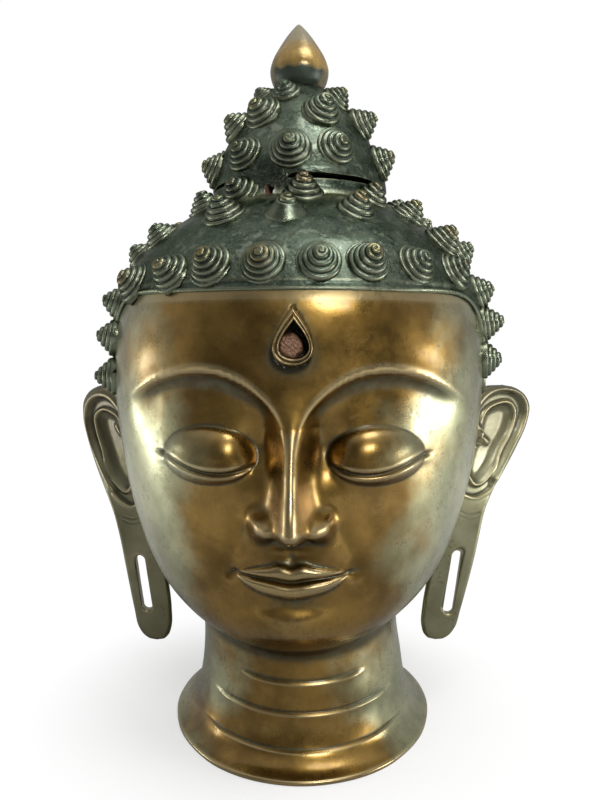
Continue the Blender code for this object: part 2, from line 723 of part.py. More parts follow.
def slot_cutter(name, side, top, length):
    """Rounded slot through an ear lobe."""
    curve = bpy.data.curves.new(name, "CURVE")
    curve.dimensions = "2D"
    curve.fill_mode = "BOTH"
    curve.extrude = 3 * EAR_THICKNESS
    spline = curve.splines.new("POLY")
    radius = SLOT_WIDTH / 2
    half = length / 2 - radius
    points = []
    for middle, start in ((half, 0.0), (-half, math.pi)):
        for i in range(5):
            angle = start + i * math.pi / 4
            points.append((radius * math.cos(angle), middle + radius * math.sin(angle)))
    spline.points.add(len(points) - 1)
    for point, (px, py) in zip(spline.points, points):
        point.co = (px, py, 0.0, 1.0)
    spline.use_cyclic_u = True
    thing = bpy.data.objects.new(name, curve)
    thing.rotation_euler = (math.pi / 2, side * math.radians(SLOT_LEAN), 0.0)
    away = HEAD_WIDTH / 2 + SLOT_OUT
    thing.location = (side * away, EAR_ROOT_Y, CHIN_HEIGHT + top - length / 2)
    return finished(thing)


def ear(name, side, tilt, lift, waist, slot_top, slot_length, guides):
    """Long ear with a slotted lobe; side is 1 on +X and -1 on -X."""
    rings = ear_rings(EAR_ROWS, EAR_COLUMNS, waist)
    turn = math.radians(tilt)
    out, up = rings[..., 0] - EAR_PIVOT_OUT, rings[..., 2] - EAR_PIVOT_UP
    away = EAR_PIVOT_OUT + out * math.cos(turn) + up * math.sin(turn)
    rise = EAR_PIVOT_UP + up * math.cos(turn) - out * math.sin(turn) + lift
    rings[..., 0] = side * (HEAD_WIDTH / 2 + away)
    rings[..., 2] = CHIN_HEIGHT + rise
    thing = loft(name, rings)
    down = EAR_PIVOT_UP - slot_top + slot_length / 2
    cutter = slot_cutter(name + "_slot", side, slot_top, slot_length)
    cutter.location.x -= side * down * math.sin(turn)
    thin_out(thing, EAR_SHARE)
    combine(thing, cutter, "DIFFERENCE", guides)
    return finished(thing)


def tear_drop(name, size, front, back):
    """Tear-drop prism on the forehead, tip upwards, from front to back along Y."""
    rings = []
    for y, share in ((front, size - URNA_ROUND), (front + URNA_RIM_OUT / 2, size), (back, size)):
        ring = []
        for i in range(URNA_POINTS):
            angle = 2 * math.pi * (i + 0.5) / URNA_POINTS
            across = 1.25 * math.sin(angle) * abs(math.sin(angle / 2)) ** 1.3
            x = URNA_SHIFT + share * URNA_WIDTH / 2 * across
            z = HAIRLINE_HEIGHT - URNA_DROP + share * URNA_LENGTH / 2 * math.cos(angle)
            ring.append((x, y, z))
        rings.append(ring)
    return loft(name, np.array(rings))


def head_casting(guides):
    """Neck, head, ears, curls and collar in one casting."""
    x, y, z = carved_head(HEAD_ROWS, HEAD_COLUMNS)
    rings = np.stack([x, y, z], axis=-1)
    foot = rings[:1] * (1.0, 1.0, 0.0)
    thing = loft("head_casting", np.concatenate([foot, rings]))
    thin_out(thing, HEAD_SHARE)
    surface = Surface(x, y, z)
    for values in EARS:
        combine(thing, ear(*values, guides), "UNION", guides)
    _, first_turn, count = RINGS_OF_CURLS[0]
    curls = place_curls("head_curls", surface, head_curl_places(), first_turn + 360.0 / count)
    combine(thing, curls, "UNION", guides, tool_crosses_itself=True)
    forehead = -FRONT_REACH
    boss = tear_drop("urna_boss", 1.0, forehead - URNA_RIM_OUT, forehead + 2 * URNA_DEPTH)
    socket = tear_drop("urna_socket", URNA_HOLE, forehead - 2 * URNA_DEPTH, forehead + URNA_DEPTH)
    combine(thing, boss, "UNION", guides)
    combine(thing, socket, "DIFFERENCE", guides)
    combine(thing, collar_chip(), "DIFFERENCE", guides)
    thin_out(thing, HEAD_FINAL_SHARE)
    return thing


def collar_chip():
    """Small hole that was broken into the collar's side."""
    shape = bmesh.new()
    bmesh.ops.create_icosphere(shape, subdivisions=1, radius=CHIP_RADIUS)
    turn = math.radians(CHIP_TURN)
    x, y = COLLAR_RADIUS * math.sin(turn), -COLLAR_RADIUS * math.cos(turn)
    return placed_shape("collar_chip", shape, (x, y, COLLAR_TOP_HEIGHT - CHIP_DROP))


def disc(name, radius, height, middle):
    """Upright cylinder round a middle point."""
    shape = bmesh.new()
    bmesh.ops.create_cone(
        shape,
        cap_ends=True,
        segments=DISC_SIDES,
        radius1=radius,
        radius2=radius,
        depth=height,
    )
    return placed_shape(name, shape, middle)


def placed_shape(name, shape, location):
    """Object made of a bmesh shape, at a location."""
    mesh = bpy.data.meshes.new(name)
    shape.to_mesh(mesh)
    shape.free()
    thing = bpy.data.objects.new(name, mesh)
    thing.location = location
    return thing


def cap_profile():
    """Radius and height of the cap, top to bottom."""
    profile = []
    for share in np.linspace(1.0, 0.0, 8):
        bulge = (1.0 - share ** 1.55) ** 0.82
        radius = JEWEL_FOOT_RADIUS + (CAP_RADIUS - JEWEL_FOOT_RADIUS) * bulge
        profile.append((radius, CAP_FOOT + share * CAP_HEIGHT))
    return profile


def seam_disc():
    """Flat disc that opens the seam at the front right of the cap."""
    turn = math.radians(SEAM_OPENING_TURN)
    away = CAP_RADIUS - SEAM_OPENING_DEPTH + SEAM_DISC_RADIUS
    middle = (away * math.sin(turn), -away * math.cos(turn), CAP_FOOT)
    return disc("seam_disc", SEAM_DISC_RADIUS, 2 * SEAM_OPENING, middle)


def topknot_cap(guides):
    """Cap of the top-knot with its curls and jewel, in one casting."""
    foot = CAP_FOOT + CAP_HEIGHT - JEWEL_SUNK
    jewel = [(r * JEWEL_RADIUS, foot + h * JEWEL_HEIGHT) for r, h in JEWEL_PROFILE]
    thing = turned("topknot_cap", jewel + cap_profile()[1:] + [(0.0, CAP_FOOT)], CAP_STEPS)
    cap = np.array(cap_profile())[::-1]
    turns = np.radians(np.arange(-180.0, 180.0, 1.0))[None, :]
    heights = np.linspace(cap[0, 1], cap[-1, 1], 120)
    radii = np.interp(heights, cap[:, 1], cap[:, 0])[:, None]
    level = heights[:, None] + 0 * turns
    surface = Surface(radii * np.sin(turns), -radii * np.cos(turns), level)
    curls = place_curls("cap_curls", surface, cap_curl_places())
    combine(thing, curls, "UNION", guides, tool_crosses_itself=True)
    below = disc("below_cap", 2 * CAP_RADIUS, CAP_HEIGHT, (0.0, 0.0, CAP_FOOT - CAP_HEIGHT / 2))
    combine(thing, below, "DIFFERENCE", guides)
    combine(thing, seam_disc(), "DIFFERENCE", guides)
    thin_out(thing, CAP_FINAL_SHARE)
    return thing


def metal(name, color, roughness):
    """Patinated copper."""
    material = bpy.data.materials.new(name)
    material.use_nodes = True
    shader = material.node_tree.nodes["Principled BSDF"]
    shader.inputs["Base Color"].default_value = color
    shader.inputs["Roughness"].default_value = roughness
    shader.inputs["Metallic"].default_value = METALLIC
    return material


def build():
    for thing in list(bpy.data.objects):
        bpy.data.objects.remove(thing)
    parts = bpy.data.collections.new(OBJECT_NAME)
    guides = bpy.data.collections.new("guides")
    bpy.context.scene.collection.children.link(parts)
    bpy.context.scene.collection.children.link(guides)
    head = head_casting(guides)
    head.data.materials.append(metal("copper_skin", COPPER_COLOR, COPPER_ROUGHNESS))
    cap = topknot_cap(guides)
    cap.data.materials.append(metal("dark_patina", DARK_PATINA_COLOR, DARK_PATINA_ROUGHNESS))
    for thing in (head, cap):
        parts.objects.link(thing)


build()
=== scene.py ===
import math

import bmesh
import bpy
import numpy as np
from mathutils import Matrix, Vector


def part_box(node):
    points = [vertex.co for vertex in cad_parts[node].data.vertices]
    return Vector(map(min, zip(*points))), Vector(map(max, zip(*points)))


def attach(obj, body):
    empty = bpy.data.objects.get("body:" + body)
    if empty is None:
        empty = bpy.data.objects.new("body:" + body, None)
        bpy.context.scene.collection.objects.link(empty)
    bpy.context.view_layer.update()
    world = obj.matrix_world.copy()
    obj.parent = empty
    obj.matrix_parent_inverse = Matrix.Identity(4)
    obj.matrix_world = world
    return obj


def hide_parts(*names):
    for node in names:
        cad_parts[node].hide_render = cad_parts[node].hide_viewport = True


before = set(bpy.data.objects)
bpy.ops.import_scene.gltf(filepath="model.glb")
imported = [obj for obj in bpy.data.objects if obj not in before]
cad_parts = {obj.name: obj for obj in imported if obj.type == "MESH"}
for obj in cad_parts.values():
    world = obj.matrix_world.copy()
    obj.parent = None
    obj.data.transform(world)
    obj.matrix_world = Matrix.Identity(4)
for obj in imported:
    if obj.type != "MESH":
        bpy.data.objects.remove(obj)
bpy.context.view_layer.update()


# Head skin: foot rim, neck with its three folds, chin and face.
# One shell of cast copper, rubbed brown on the front and olive at the sides, where the lighter olive is
# partly a painted reflection of the bright studio.
# It is one casting with the hair, the ears and the urna's rim.
RIM_WIDTH = 0.158
RIM_DEPTH = 0.190
RIM_THICKNESS = 0.0022
NECK_WIDTH = 0.121
NECK_DEPTH = 0.143
NECK_SHIFT = 0.0020
CHIN_HEIGHT = 0.075
FACE_HEIGHT = 0.1793
CROWN_HEIGHT = 0.0562
HEAD_WIDTH = 0.2196
FRONT_REACH = 0.1138
BACK_REACH = 0.1165
COLLAR_RADIUS = 0.0515
COLLAR_BEND = 0.0041
HAIRLINE_HEIGHT = CHIN_HEIGHT + FACE_HEIGHT
COLLAR_FOOT = HAIRLINE_HEIGHT + CROWN_HEIGHT
COLLAR_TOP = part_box("head_casting")[1].z
FACE_UNIT = FACE_HEIGHT / 12.0
# Neck: height as a share of the chin's at front, side and back, then the spread
# from the neck's size (0) to the rim's (1)
NECK_SECTIONS = (
    (0.073, 0.073, 0.073, 0.68),
    (0.153, 0.153, 0.153, 0.40),
    (0.293, 0.293, 0.293, 0.21),
    (0.480, 0.507, 0.507, 0.08),
    (0.667, 0.747, 0.800, 0.00),
)
# Head: height above the chin as a share of the face at the front, then how much
# higher at side and back, then shares of head width, front and back reach
HEAD_SECTIONS = (
    (-0.089, 0.061, 0.117, 0.556, 0.626, 0.627),
    (-0.061, 0.078, 0.156, 0.587, 0.668, 0.661),
    (-0.039, 0.089, 0.178, 0.647, 0.747, 0.712),
    (-0.008, 0.092, 0.187, 0.703, 0.830, 0.764),
    (0.045, 0.089, 0.178, 0.765, 0.892, 0.815),
    (0.128, 0.072, 0.145, 0.824, 0.923, 0.867),
    (0.240, 0.050, 0.106, 0.879, 0.938, 0.914),
    (0.390, 0.022, 0.050, 0.936, 0.953, 0.961),
    (0.558, 0.006, 0.017, 0.977, 0.971, 0.991),
    (0.725, 0.000, 0.000, 1.000, 0.993, 1.000),
    (0.864, 0.000, 0.000, 1.000, 1.000, 0.991),
    (0.976, 0.000, 0.000, 0.973, 0.982, 0.961),
)
# Crown: height as a share from hairline to collar, then the spread from the
# collar's radius (0) to the head's size (1)
CROWN_SECTIONS = (
    (0.208, 0.858),
    (0.420, 0.730),
    (0.600, 0.556),
    (0.760, 0.346),
    (0.900, 0.150),
    (1.000, 0.036),
)
SQUARENESS = 0.2
SQUARENESS_FADE = (0.586, 1.032)
# Folds of the neck: height as a share of the chin's, then half length across the
# front and step as shares of the neck's width
NECK_FOLDS = (
    (0.593, 0.281, 0.0099),
    (0.380, 0.413, 0.0116),
    (0.149, 0.463, 0.0124),
)
FOLD_SAG = 0.028
FOLD_ROLL = 0.107
FOLD_CREASE = 0.047
# Rows of the skin: height at the front, then how closely they stand, in millimetres
SKIN_ROW_STEPS = (
    (0.000, 1.2),
    (0.008, 0.8),
    (0.011, 0.45),
    (0.014, 0.8),
    (0.027, 0.45),
    (0.031, 0.8),
    (0.043, 0.45),
    (0.047, 1.2),
    (0.072, 1.3),
    (0.090, 0.95),
    (0.105, 0.72),
    (0.152, 0.72),
    (0.158, 0.56),
    (0.188, 0.60),
    (0.196, 1.2),
    (0.260, 1.5),
)
SKIN_ROWS = 276
SKIN_UNDER_HAIR = 0.004
# Columns of the skin: turn from the front and how closely they stand, in degrees
SKIN_COLUMN_STEPS = (
    (0, 0.33),
    (21, 0.34),
    (24, 0.50),
    (42, 0.55),
    (50, 1.0),
    (80, 1.1),
    (90, 3.2),
    (180, 3.4),
)
SKIN_HALF_COLUMNS = 176
# Rounded lower edge of the rim: height and how far it stands in
RIM_EDGE_SECTION = (
    (0.0, 0.0009),
    (0.0002, 0.0004),
    (0.0006, 0.0001),
    (0.0012, 0.0),
)
# The face is laid out in units of a twelfth of its height, across from the middle
# and up from the chin. A line has its start, length and height, then its bends.
BROW_START = 0.25
BROW_LENGTH = 6.2
BROW_HEIGHT = 7.55
BROW_ARCH = 1.65
BROW_END_RISE = 0.55
BROW_SPAN = (0.15, 1.0, 4.6, 6.3)
LID_START = 1.30
LID_LENGTH = 3.05
LID_HEIGHT = 6.42
LID_END_RISE = 0.28
LID_SAG = 0.34
LID_SPAN = (1.18, 1.50, 4.20, 4.85)
MOUTH_HALF = 1.92
MOUTH_HEIGHT = 2.66
MOUTH_BOW = 0.07
MOUTH_END_RISE = 0.16
# Eyeball: place across and up, half width, half height above and below the middle
EYE_ACROSS = 2.78
EYE_UP = 6.62
EYE_HALF_WIDTH = 1.66
EYE_HALF_ABOVE = 1.02
EYE_HALF_BELOW = 0.92
EYE_OUT = 0.589
# Nose: height of a place, then how far its ridge stands out
NOSE_RIDGE = (
    (3.20, 0.0),
    (3.55, 0.0),
    (3.95, 0.234),
    (4.12, 0.837),
    (4.45, 1.372),
    (4.80, 1.392),
    (5.60, 1.071),
    (6.60, 0.703),
    (7.40, 0.415),
    (8.10, 0.201),
    (8.90, 0.030),
    (9.70, 0.0),
)
# Nose: height of a place, then half width of the ridge
NOSE_HALF_WIDTH = (
    (3.9, 0.62),
    (4.4, 0.66),
    (4.9, 0.60),
    (5.8, 0.47),
    (6.8, 0.43),
    (7.6, 0.55),
    (8.6, 1.1),
)
# Nose: height of a place, then how far its sides spread into the cheeks
NOSE_SIDES = (
    (3.8, 0.0),
    (4.6, 0.301),
    (6.2, 0.234),
    (7.6, 0.0),
)
WING_ACROSS = 0.98
WING_UP = 4.42
WING_OUT = 0.589
# Round swellings and hollows: how far out, place and reach across, place and reach up
INNER_CORNER = (-0.402, 1.15, 0.62, 6.90, 0.85)
NOSTRIL = (-0.201, 0.50, 0.20, 4.02, 0.14)
MOUTH_MOUND = (0.301, 0.0, 2.1, 2.75, 1.15)
MOUTH_CORNER = (-0.147, 2.1, 0.28, 2.84, 0.30)
CHEEK = (0.201, 3.5, 2.0, 4.3, 1.9)
BELOW_LIP = (-0.174, 0.0, 1.5, 1.72, 0.34)
CHIN = (0.335, 0.0, 1.35, 0.85, 0.80)
# Ridges and grooves beside a line: how far out, how far beside the line, and reach
BROW_ROLL = (0.050, -0.10, 0.34)
LID_ROLL = (0.074, 0.0, 0.22)
LID_GROOVE = (-0.147, -0.08, 0.09)
LOWER_LID = (0.040, -0.30, 0.12)
LIP_PARTING = (-0.134, 0.0, 0.075)
LIP_FURROW = (-0.060, 0.0, 0.20)
NOSE_FOLD = (-0.080, 0.0, 0.28)
EYE_SOCKET_DEPTH = 0.455
EYE_SOCKET_EDGE = 0.22
EYE_SOCKET_REACH = 1.75
UPPER_LIP_HEIGHT = 0.52
UPPER_LIP_BOW = 0.10
UPPER_LIP_OUT = 0.228
LOWER_LIP_HEIGHT = 0.64
LOWER_LIP_OUT = 0.308
LIP_FURROW_SPAN = (3.1, 3.4, 3.8, 4.0)
NOSE_FOLD_SPAN = (2.7, 3.5, 4.2, 4.7)
FACE_SPAN = (-0.9, 0.35, 12.4, 13.2)


def smooth_step(start, end, value):
    """Rise from 0 to 1 between start and end."""
    share = np.clip((value - start) / (end - start), 0.0, 1.0)
    return share * share * (3.0 - 2.0 * share)


def span_of(value, rise_start, rise_end, fall_start, fall_end):
    """1 in a span, with a soft rise before it and a soft fall after it."""
    return smooth_step(rise_start, rise_end, value) * (1.0 - smooth_step(fall_start, fall_end, value))


def swell(distance, width):
    """Bell curve with height 1 at distance 0."""
    return np.exp(-((distance / width) ** 2))


def running_total(steps):
    """Sum of the steps up to each place, from 0 at the start."""
    return np.concatenate(([0.0], np.cumsum(steps)))


def place_on_head(share):
    """Height at a share: 0 at the chin, 1 at the hairline, 2 at the collar's foot."""
    return np.interp(share, (0, 1, 2), (CHIN_HEIGHT, HAIRLINE_HEIGHT, COLLAR_FOOT))


def head_stations():
    """Sections up the head: three heights, half width, front reach, back reach."""
    stations = [(RIM_THICKNESS,) * 3 + (RIM_WIDTH / 2, RIM_DEPTH / 2, RIM_DEPTH / 2)]
    for front, side, back, spread in NECK_SECTIONS:
        half_width = (NECK_WIDTH + spread * (RIM_WIDTH - NECK_WIDTH)) / 2
        half_depth = (NECK_DEPTH + spread * (RIM_DEPTH - NECK_DEPTH)) / 2
        heights = (front * CHIN_HEIGHT, side * CHIN_HEIGHT, back * CHIN_HEIGHT)
        stations.append(heights + (half_width, half_depth, half_depth))
    for front, side_rise, back_rise, width, front_share, back_share in HEAD_SECTIONS:
        low = CHIN_HEIGHT + front * FACE_HEIGHT
        heights = (low, low + side_rise * FACE_HEIGHT, low + back_rise * FACE_HEIGHT)
        reaches = (width * HEAD_WIDTH / 2, front_share * FRONT_REACH, back_share * BACK_REACH)
        stations.append(heights + reaches)
    full_reaches = (HEAD_WIDTH / 2, FRONT_REACH, BACK_REACH)
    for share, spread in CROWN_SECTIONS:
        reaches = tuple(COLLAR_RADIUS + spread * (full - COLLAR_RADIUS) for full in full_reaches)
        stations.append((HAIRLINE_HEIGHT + share * CROWN_HEIGHT,) * 3 + reaches)
    for height in (COLLAR_FOOT + COLLAR_BEND, COLLAR_TOP):
        stations.append((height,) * 3 + (COLLAR_RADIUS,) * 3)
    return np.array(stations)


STATIONS = head_stations()
STATION_STEPS = np.sqrt((np.diff(STATIONS[:, (0, 3, 4)], axis=0) ** 2).sum(axis=1)) ** 0.5
STATION_KNOTS = running_total(STATION_STEPS) / STATION_STEPS.sum()


def curve_through(knots, values, at):
    """Smooth curve through values given at knots."""
    slopes = np.gradient(values, knots, axis=0)
    index = np.clip(np.searchsorted(knots, at, side="right") - 1, 0, len(knots) - 2)
    span = knots[index + 1] - knots[index]
    t = (at - knots[index]) / span
    if values.ndim > 1:
        t, span = t[:, None], span[:, None]
    start, end = values[index], values[index + 1]
    return (
        (2 * t ** 3 - 3 * t ** 2 + 1) * start
        + (t ** 3 - 2 * t ** 2 + t) * slopes[index] * span
        + (3 * t ** 2 - 2 * t ** 3) * end
        + (t ** 3 - t ** 2) * slopes[index + 1] * span
    )


def plain_head(share, turn):
    """Point of the uncarved head at a share of its height's curve and a turn."""
    share, turn = np.broadcast_arrays(share, turn)
    sections = curve_through(STATION_KNOTS, STATIONS, share.ravel()).reshape(share.shape + (6,))
    front_z, side_z, back_z, width, front, back = np.moveaxis(sections, -1, 0)
    sine, cosine = np.sin(turn), np.cos(turn)
    faces_front = cosine > 0
    above_neck = smooth_step(0.6 * CHIN_HEIGHT, 1.6 * CHIN_HEIGHT, front_z)
    up_face = (front_z - CHIN_HEIGHT) / FACE_HEIGHT
    squareness = 2.0 + SQUARENESS * above_neck * (1.0 - smooth_step(*SQUARENESS_FADE, up_face))
    power = np.where(faces_front, 2.0 / squareness, 1.0)
    x = width * np.sign(sine) * np.abs(sine) ** power
    y = -np.where(faces_front, front, back) * np.sign(cosine) * np.abs(cosine) ** power
    z = side_z + (np.where(faces_front, front_z, back_z) - side_z) * cosine ** 2
    x = x + NECK_SHIFT * (1.0 - smooth_step(0.4 * CHIN_HEIGHT, CHIN_HEIGHT, z))
    return x, y, z


# Shares at a regular stack of heights, for turns from the back (-1) to the front (1)
HEIGHT_STACK = np.linspace(RIM_THICKNESS, COLLAR_TOP, 1500)
BEARING_STACK = np.linspace(-1.0, 1.0, 81)
FINE_SHARES = np.linspace(0.0, 1.0, 3000)
FINE_SECTIONS = curve_through(STATION_KNOTS, STATIONS, FINE_SHARES)
SHARE_STACK = np.array([
    np.interp(
        HEIGHT_STACK,
        FINE_SECTIONS[:, 1] + (FINE_SECTIONS[:, 0 if b > 0 else 2] - FINE_SECTIONS[:, 1]) * abs(b),
        FINE_SHARES,
    )
    for b in BEARING_STACK
])


def share_at(turn, height):
    """Share of the head's curve at which a turn reaches a height."""
    bearing = (np.cos(turn) * np.abs(np.cos(turn)) + 1.0) / 2.0 * (len(BEARING_STACK) - 1)
    step = HEIGHT_STACK[1] - HEIGHT_STACK[0]
    level = np.clip((height - HEIGHT_STACK[0]) / step, 0.0, len(HEIGHT_STACK) - 1.001)
    bearing = np.clip(bearing, 0.0, len(BEARING_STACK) - 1.001)
    i, j = bearing.astype(int), level.astype(int)
    u, v = bearing - i, level - j
    low = SHARE_STACK[i, j] * (1 - v) + SHARE_STACK[i, j + 1] * v
    high = SHARE_STACK[i + 1, j] * (1 - v) + SHARE_STACK[i + 1, j + 1] * v
    return low * (1 - u) + high * u


def unevenness(x, y, z):
    """Slight waviness of a surface that was modelled by hand in wax."""
    waves = np.sin(131 * x + 1.3) * np.sin(117 * z + 0.4) + np.sin(164 * y + 97 * z + 2.1)
    waves = waves + 0.7 * np.sin(211 * x - 173 * z + 0.9) + 0.5 * np.sin(287 * z + 190 * y + 3.0)
    return 0.00006 * waves


def brow_height(across):
    """Height of the brow's edge above the chin."""
    share = np.clip((across - BROW_START) / BROW_LENGTH, 0.0, 1.0)
    return BROW_HEIGHT + BROW_ARCH * np.sin(math.pi * share ** 0.78) ** 0.9 + BROW_END_RISE * share


def lid_line_height(across):
    """Height of the lowered upper lid's edge above the chin."""
    share = np.clip((across - LID_START) / LID_LENGTH, 0.0, 1.0)
    return LID_HEIGHT + LID_END_RISE * share - LID_SAG * np.sin(math.pi * share ** 0.9)


def mouth_line_height(across):
    """Height of the line in which the lips meet."""
    share = np.clip(across / MOUTH_HALF, 0.0, 1.0)
    return MOUTH_HEIGHT - MOUTH_BOW * swell(across, 0.42) + MOUTH_END_RISE * share ** 2


def round_form(shape, across, up):
    """One round swelling or hollow of the face."""
    out, at_across, reach_across, at_up, reach_up = shape
    return out * swell(across - at_across, reach_across) * swell(up - at_up, reach_up)


def line_form(shape, distance):
    """One ridge or groove beside a line, at distances from the line."""
    out, beside, reach = shape
    return out * swell(distance - beside, reach)


def eye_relief(across, up):
    """Brow edge, socket, eyeball under its lids, and the lowered lid line."""
    below_brow = brow_height(across) - up
    below = np.maximum(below_brow, 0.0)
    side = span_of(across, *BROW_SPAN)
    socket = side * (1.0 - np.exp(-below / EYE_SOCKET_EDGE)) * swell(below, EYE_SOCKET_REACH)
    brow_ridge = side * line_form(BROW_ROLL, below_brow)
    half_height = np.where(up > EYE_UP, EYE_HALF_ABOVE, EYE_HALF_BELOW)
    ball = ((across - EYE_ACROSS) / EYE_HALF_WIDTH) ** 2 + ((up - EYE_UP) / half_height) ** 2
    ball = np.clip(1.0 - ball, 0.0, 1.0)
    eyeball = EYE_OUT * ball ** 1.6 / (ball + 0.06)
    above_lid = up - lid_line_height(across)
    lid = line_form(LID_ROLL, above_lid) * (above_lid > 0)
    lid += line_form(LID_GROOVE, above_lid) + line_form(LOWER_LID, above_lid)
    lid *= span_of(across, *LID_SPAN)
    corner = round_form(INNER_CORNER, across, up)
    return brow_ridge - EYE_SOCKET_DEPTH * socket + corner + eyeball + lid


def nose_relief(across, up):
    """Ridge, tip and wings of the nose, with the hollows under it."""
    heights, out = np.array(NOSE_RIDGE).T
    half = np.interp(up, *np.array(NOSE_HALF_WIDTH).T)
    ridge = curve_through(heights, out, np.clip(up, heights[0], heights[-1]))
    ridge = ridge * np.exp(-((across / half) ** 2.1))
    sides = np.interp(up, *np.array(NOSE_SIDES).T) * swell(across, 1.15)
    wing_across = (np.abs(across - WING_ACROSS) / 0.40) ** 2.6
    wing_up = (np.abs(up - WING_UP) / 0.42) ** 2.6
    wings = WING_OUT * np.exp(-wing_across - wing_up)
    return ridge + sides + wings + round_form(NOSTRIL, across, up)


def mouth_relief(across, up):
    """Lips, their meeting line and corners, and the furrow below the nose."""
    share = np.clip(across / MOUTH_HALF, 0.0, 1.0)
    meeting = mouth_line_height(across)
    upper = UPPER_LIP_HEIGHT * (1.0 - share ** 1.8) + UPPER_LIP_BOW * swell(across - 0.36, 0.26) + 0.001
    lower = LOWER_LIP_HEIGHT * (1.0 - share ** 2.4) ** 0.8 + 0.001
    in_upper = np.clip((up - meeting) / upper, 0.0, 1.0)
    in_lower = np.clip((meeting - up) / lower, 0.0, 1.0)
    upper_roll = (1.0 - (1.9 * in_upper - 0.9) ** 2) ** 0.7 * (in_upper > 0)
    lower_roll = (1.0 - (2.0 * in_lower - 1.0) ** 2) ** 0.6
    lips = (UPPER_LIP_OUT * upper_roll + LOWER_LIP_OUT * lower_roll) * (1.0 - share ** 3)
    parting = line_form(LIP_PARTING, up - meeting) * (1.0 - smooth_step(1.8, 2.15, across))
    furrow = line_form(LIP_FURROW, across) * span_of(up, *LIP_FURROW_SPAN)
    round_forms = round_form(MOUTH_MOUND, across, up) + round_form(MOUTH_CORNER, across, up)
    return round_forms + lips + parting + furrow


def cheek_and_chin_relief(across, up):
    """Full cheeks, the fold beside the nose, and the round chin."""
    fold_across = 1.55 + 0.42 * np.clip(4.3 - up, 0.0, 1.5)
    fold = line_form(NOSE_FOLD, across - fold_across) * span_of(up, *NOSE_FOLD_SPAN)
    return sum(round_form(shape, across, up) for shape in (CHEEK, BELOW_LIP, CHIN)) + fold


def face_relief(x, y, z):
    """How far the face stands out from the plain head, towards the front."""
    across = np.abs(x) / FACE_UNIT
    up = (z - CHIN_HEIGHT) / FACE_UNIT
    face = eye_relief(across, up) + nose_relief(across, up)
    face += mouth_relief(across, up) + cheek_and_chin_relief(across, up)
    face *= smooth_step(0.10, 0.45, -y / np.hypot(x, y))
    face *= span_of(up, *FACE_SPAN)
    return face * FACE_UNIT


def fold_line(height, half_length, across):
    """Height of a neck fold's edge, which rises towards its ends."""
    return CHIN_HEIGHT * (height + FOLD_SAG * np.minimum(across / half_length, 1.1) ** 2)


def fold_relief(x, y, z):
    """Rings of flesh across the front of the neck, each overlapping the next."""
    relief = np.zeros_like(x)
    across = np.abs(x - 2 * NECK_SHIFT) / NECK_WIDTH
    for height, half_length, step in NECK_FOLDS:
        above = (z - fold_line(height, half_length, across)) / CHIN_HEIGHT
        reach = 1.0 - smooth_step(0.82 * half_length, 1.05 * half_length, across)
        roll = np.exp(np.minimum(above, 0.0) / FOLD_ROLL)
        crease = -0.55 * np.exp(-np.maximum(above, 0.0) / FOLD_CREASE)
        relief += step * NECK_WIDTH * np.where(above < 0, roll, crease) * reach
    return relief * (y < 0) * (z < CHIN_HEIGHT)


def steps_along(length, widths):
    """Running number of steps along a length, from the width of a step at each place."""
    density = 1.0 / widths
    return running_total((density[1:] + density[:-1]) / 2 * np.diff(length))


def spread_out(steps, count, span):
    """Count places from 0 to span, spaced as the table of place and step says."""
    places, widths = np.array(steps, dtype=float).T
    fine = np.linspace(0.0, span, 6000)
    total = steps_along(fine, np.interp(fine, places, widths))
    return np.interp(np.linspace(0.0, total[-1], count), total, fine)


def rows_along_front(count, top):
    """Shares of the rows, spaced along the front by the table of row steps."""
    height, reach = FINE_SECTIONS[:, 0], FINE_SECTIONS[:, 4]
    length = running_total(np.hypot(np.diff(height), np.diff(reach)))
    places, widths = np.array(SKIN_ROW_STEPS).T
    total = steps_along(length, np.interp(height, places, widths))
    end = np.interp(top, height, total)
    return np.interp(np.linspace(0.0, end, count), total, FINE_SHARES)


def skin_grid():
    """Turns and shares of the skin's grid; its rows follow lids, mouth and folds."""
    half = spread_out(SKIN_COLUMN_STEPS, SKIN_HALF_COLUMNS, 180.0)
    turn = np.radians(np.concatenate((-half[:0:-1], half[:-1])))[None, :]
    share = rows_along_front(SKIN_ROWS, HAIRLINE_HEIGHT + SKIN_UNDER_HAIR)[:, None]
    x, _, z = plain_head(share, turn)
    front = smooth_step(0.15, 0.45, np.cos(turn))
    level = np.interp(share, FINE_SHARES, FINE_SECTIONS[:, 0])
    # In the neck the rows run level and rise with the folds
    neck_across = np.abs(x - 2 * NECK_SHIFT) / NECK_WIDTH
    heights, halves, _ = np.array(NECK_FOLDS[::-1]).T
    half_length = np.interp(level, heights * CHIN_HEIGHT, halves)
    rise = CHIN_HEIGHT * FOLD_SAG * np.minimum(neck_across / half_length, 1.1) ** 2
    rise *= span_of(level, 0.003, 0.009, 0.046, 0.058)
    in_neck = span_of(level, 0.004, 0.010, 0.050, 0.064) * front
    target = z + in_neck * (level + rise - z)
    # In the face they follow the lid's edge and the line of the lips
    across, up = np.abs(x) / FACE_UNIT, (target - CHIN_HEIGHT) / FACE_UNIT
    lid_fade = (1.0 - smooth_step(5.0, 6.2, across)) * swell(up - LID_HEIGHT, 0.8) * front
    target = target + lid_fade * (lid_line_height(across) - LID_HEIGHT) * FACE_UNIT
    mouth_fade = (1.0 - smooth_step(2.2, 3.4, across)) * swell(up - MOUTH_HEIGHT, 0.6) * front
    target = target + mouth_fade * (mouth_line_height(across) - MOUTH_HEIGHT) * FACE_UNIT
    return share_at(turn + 0 * share, target), turn + 0 * share


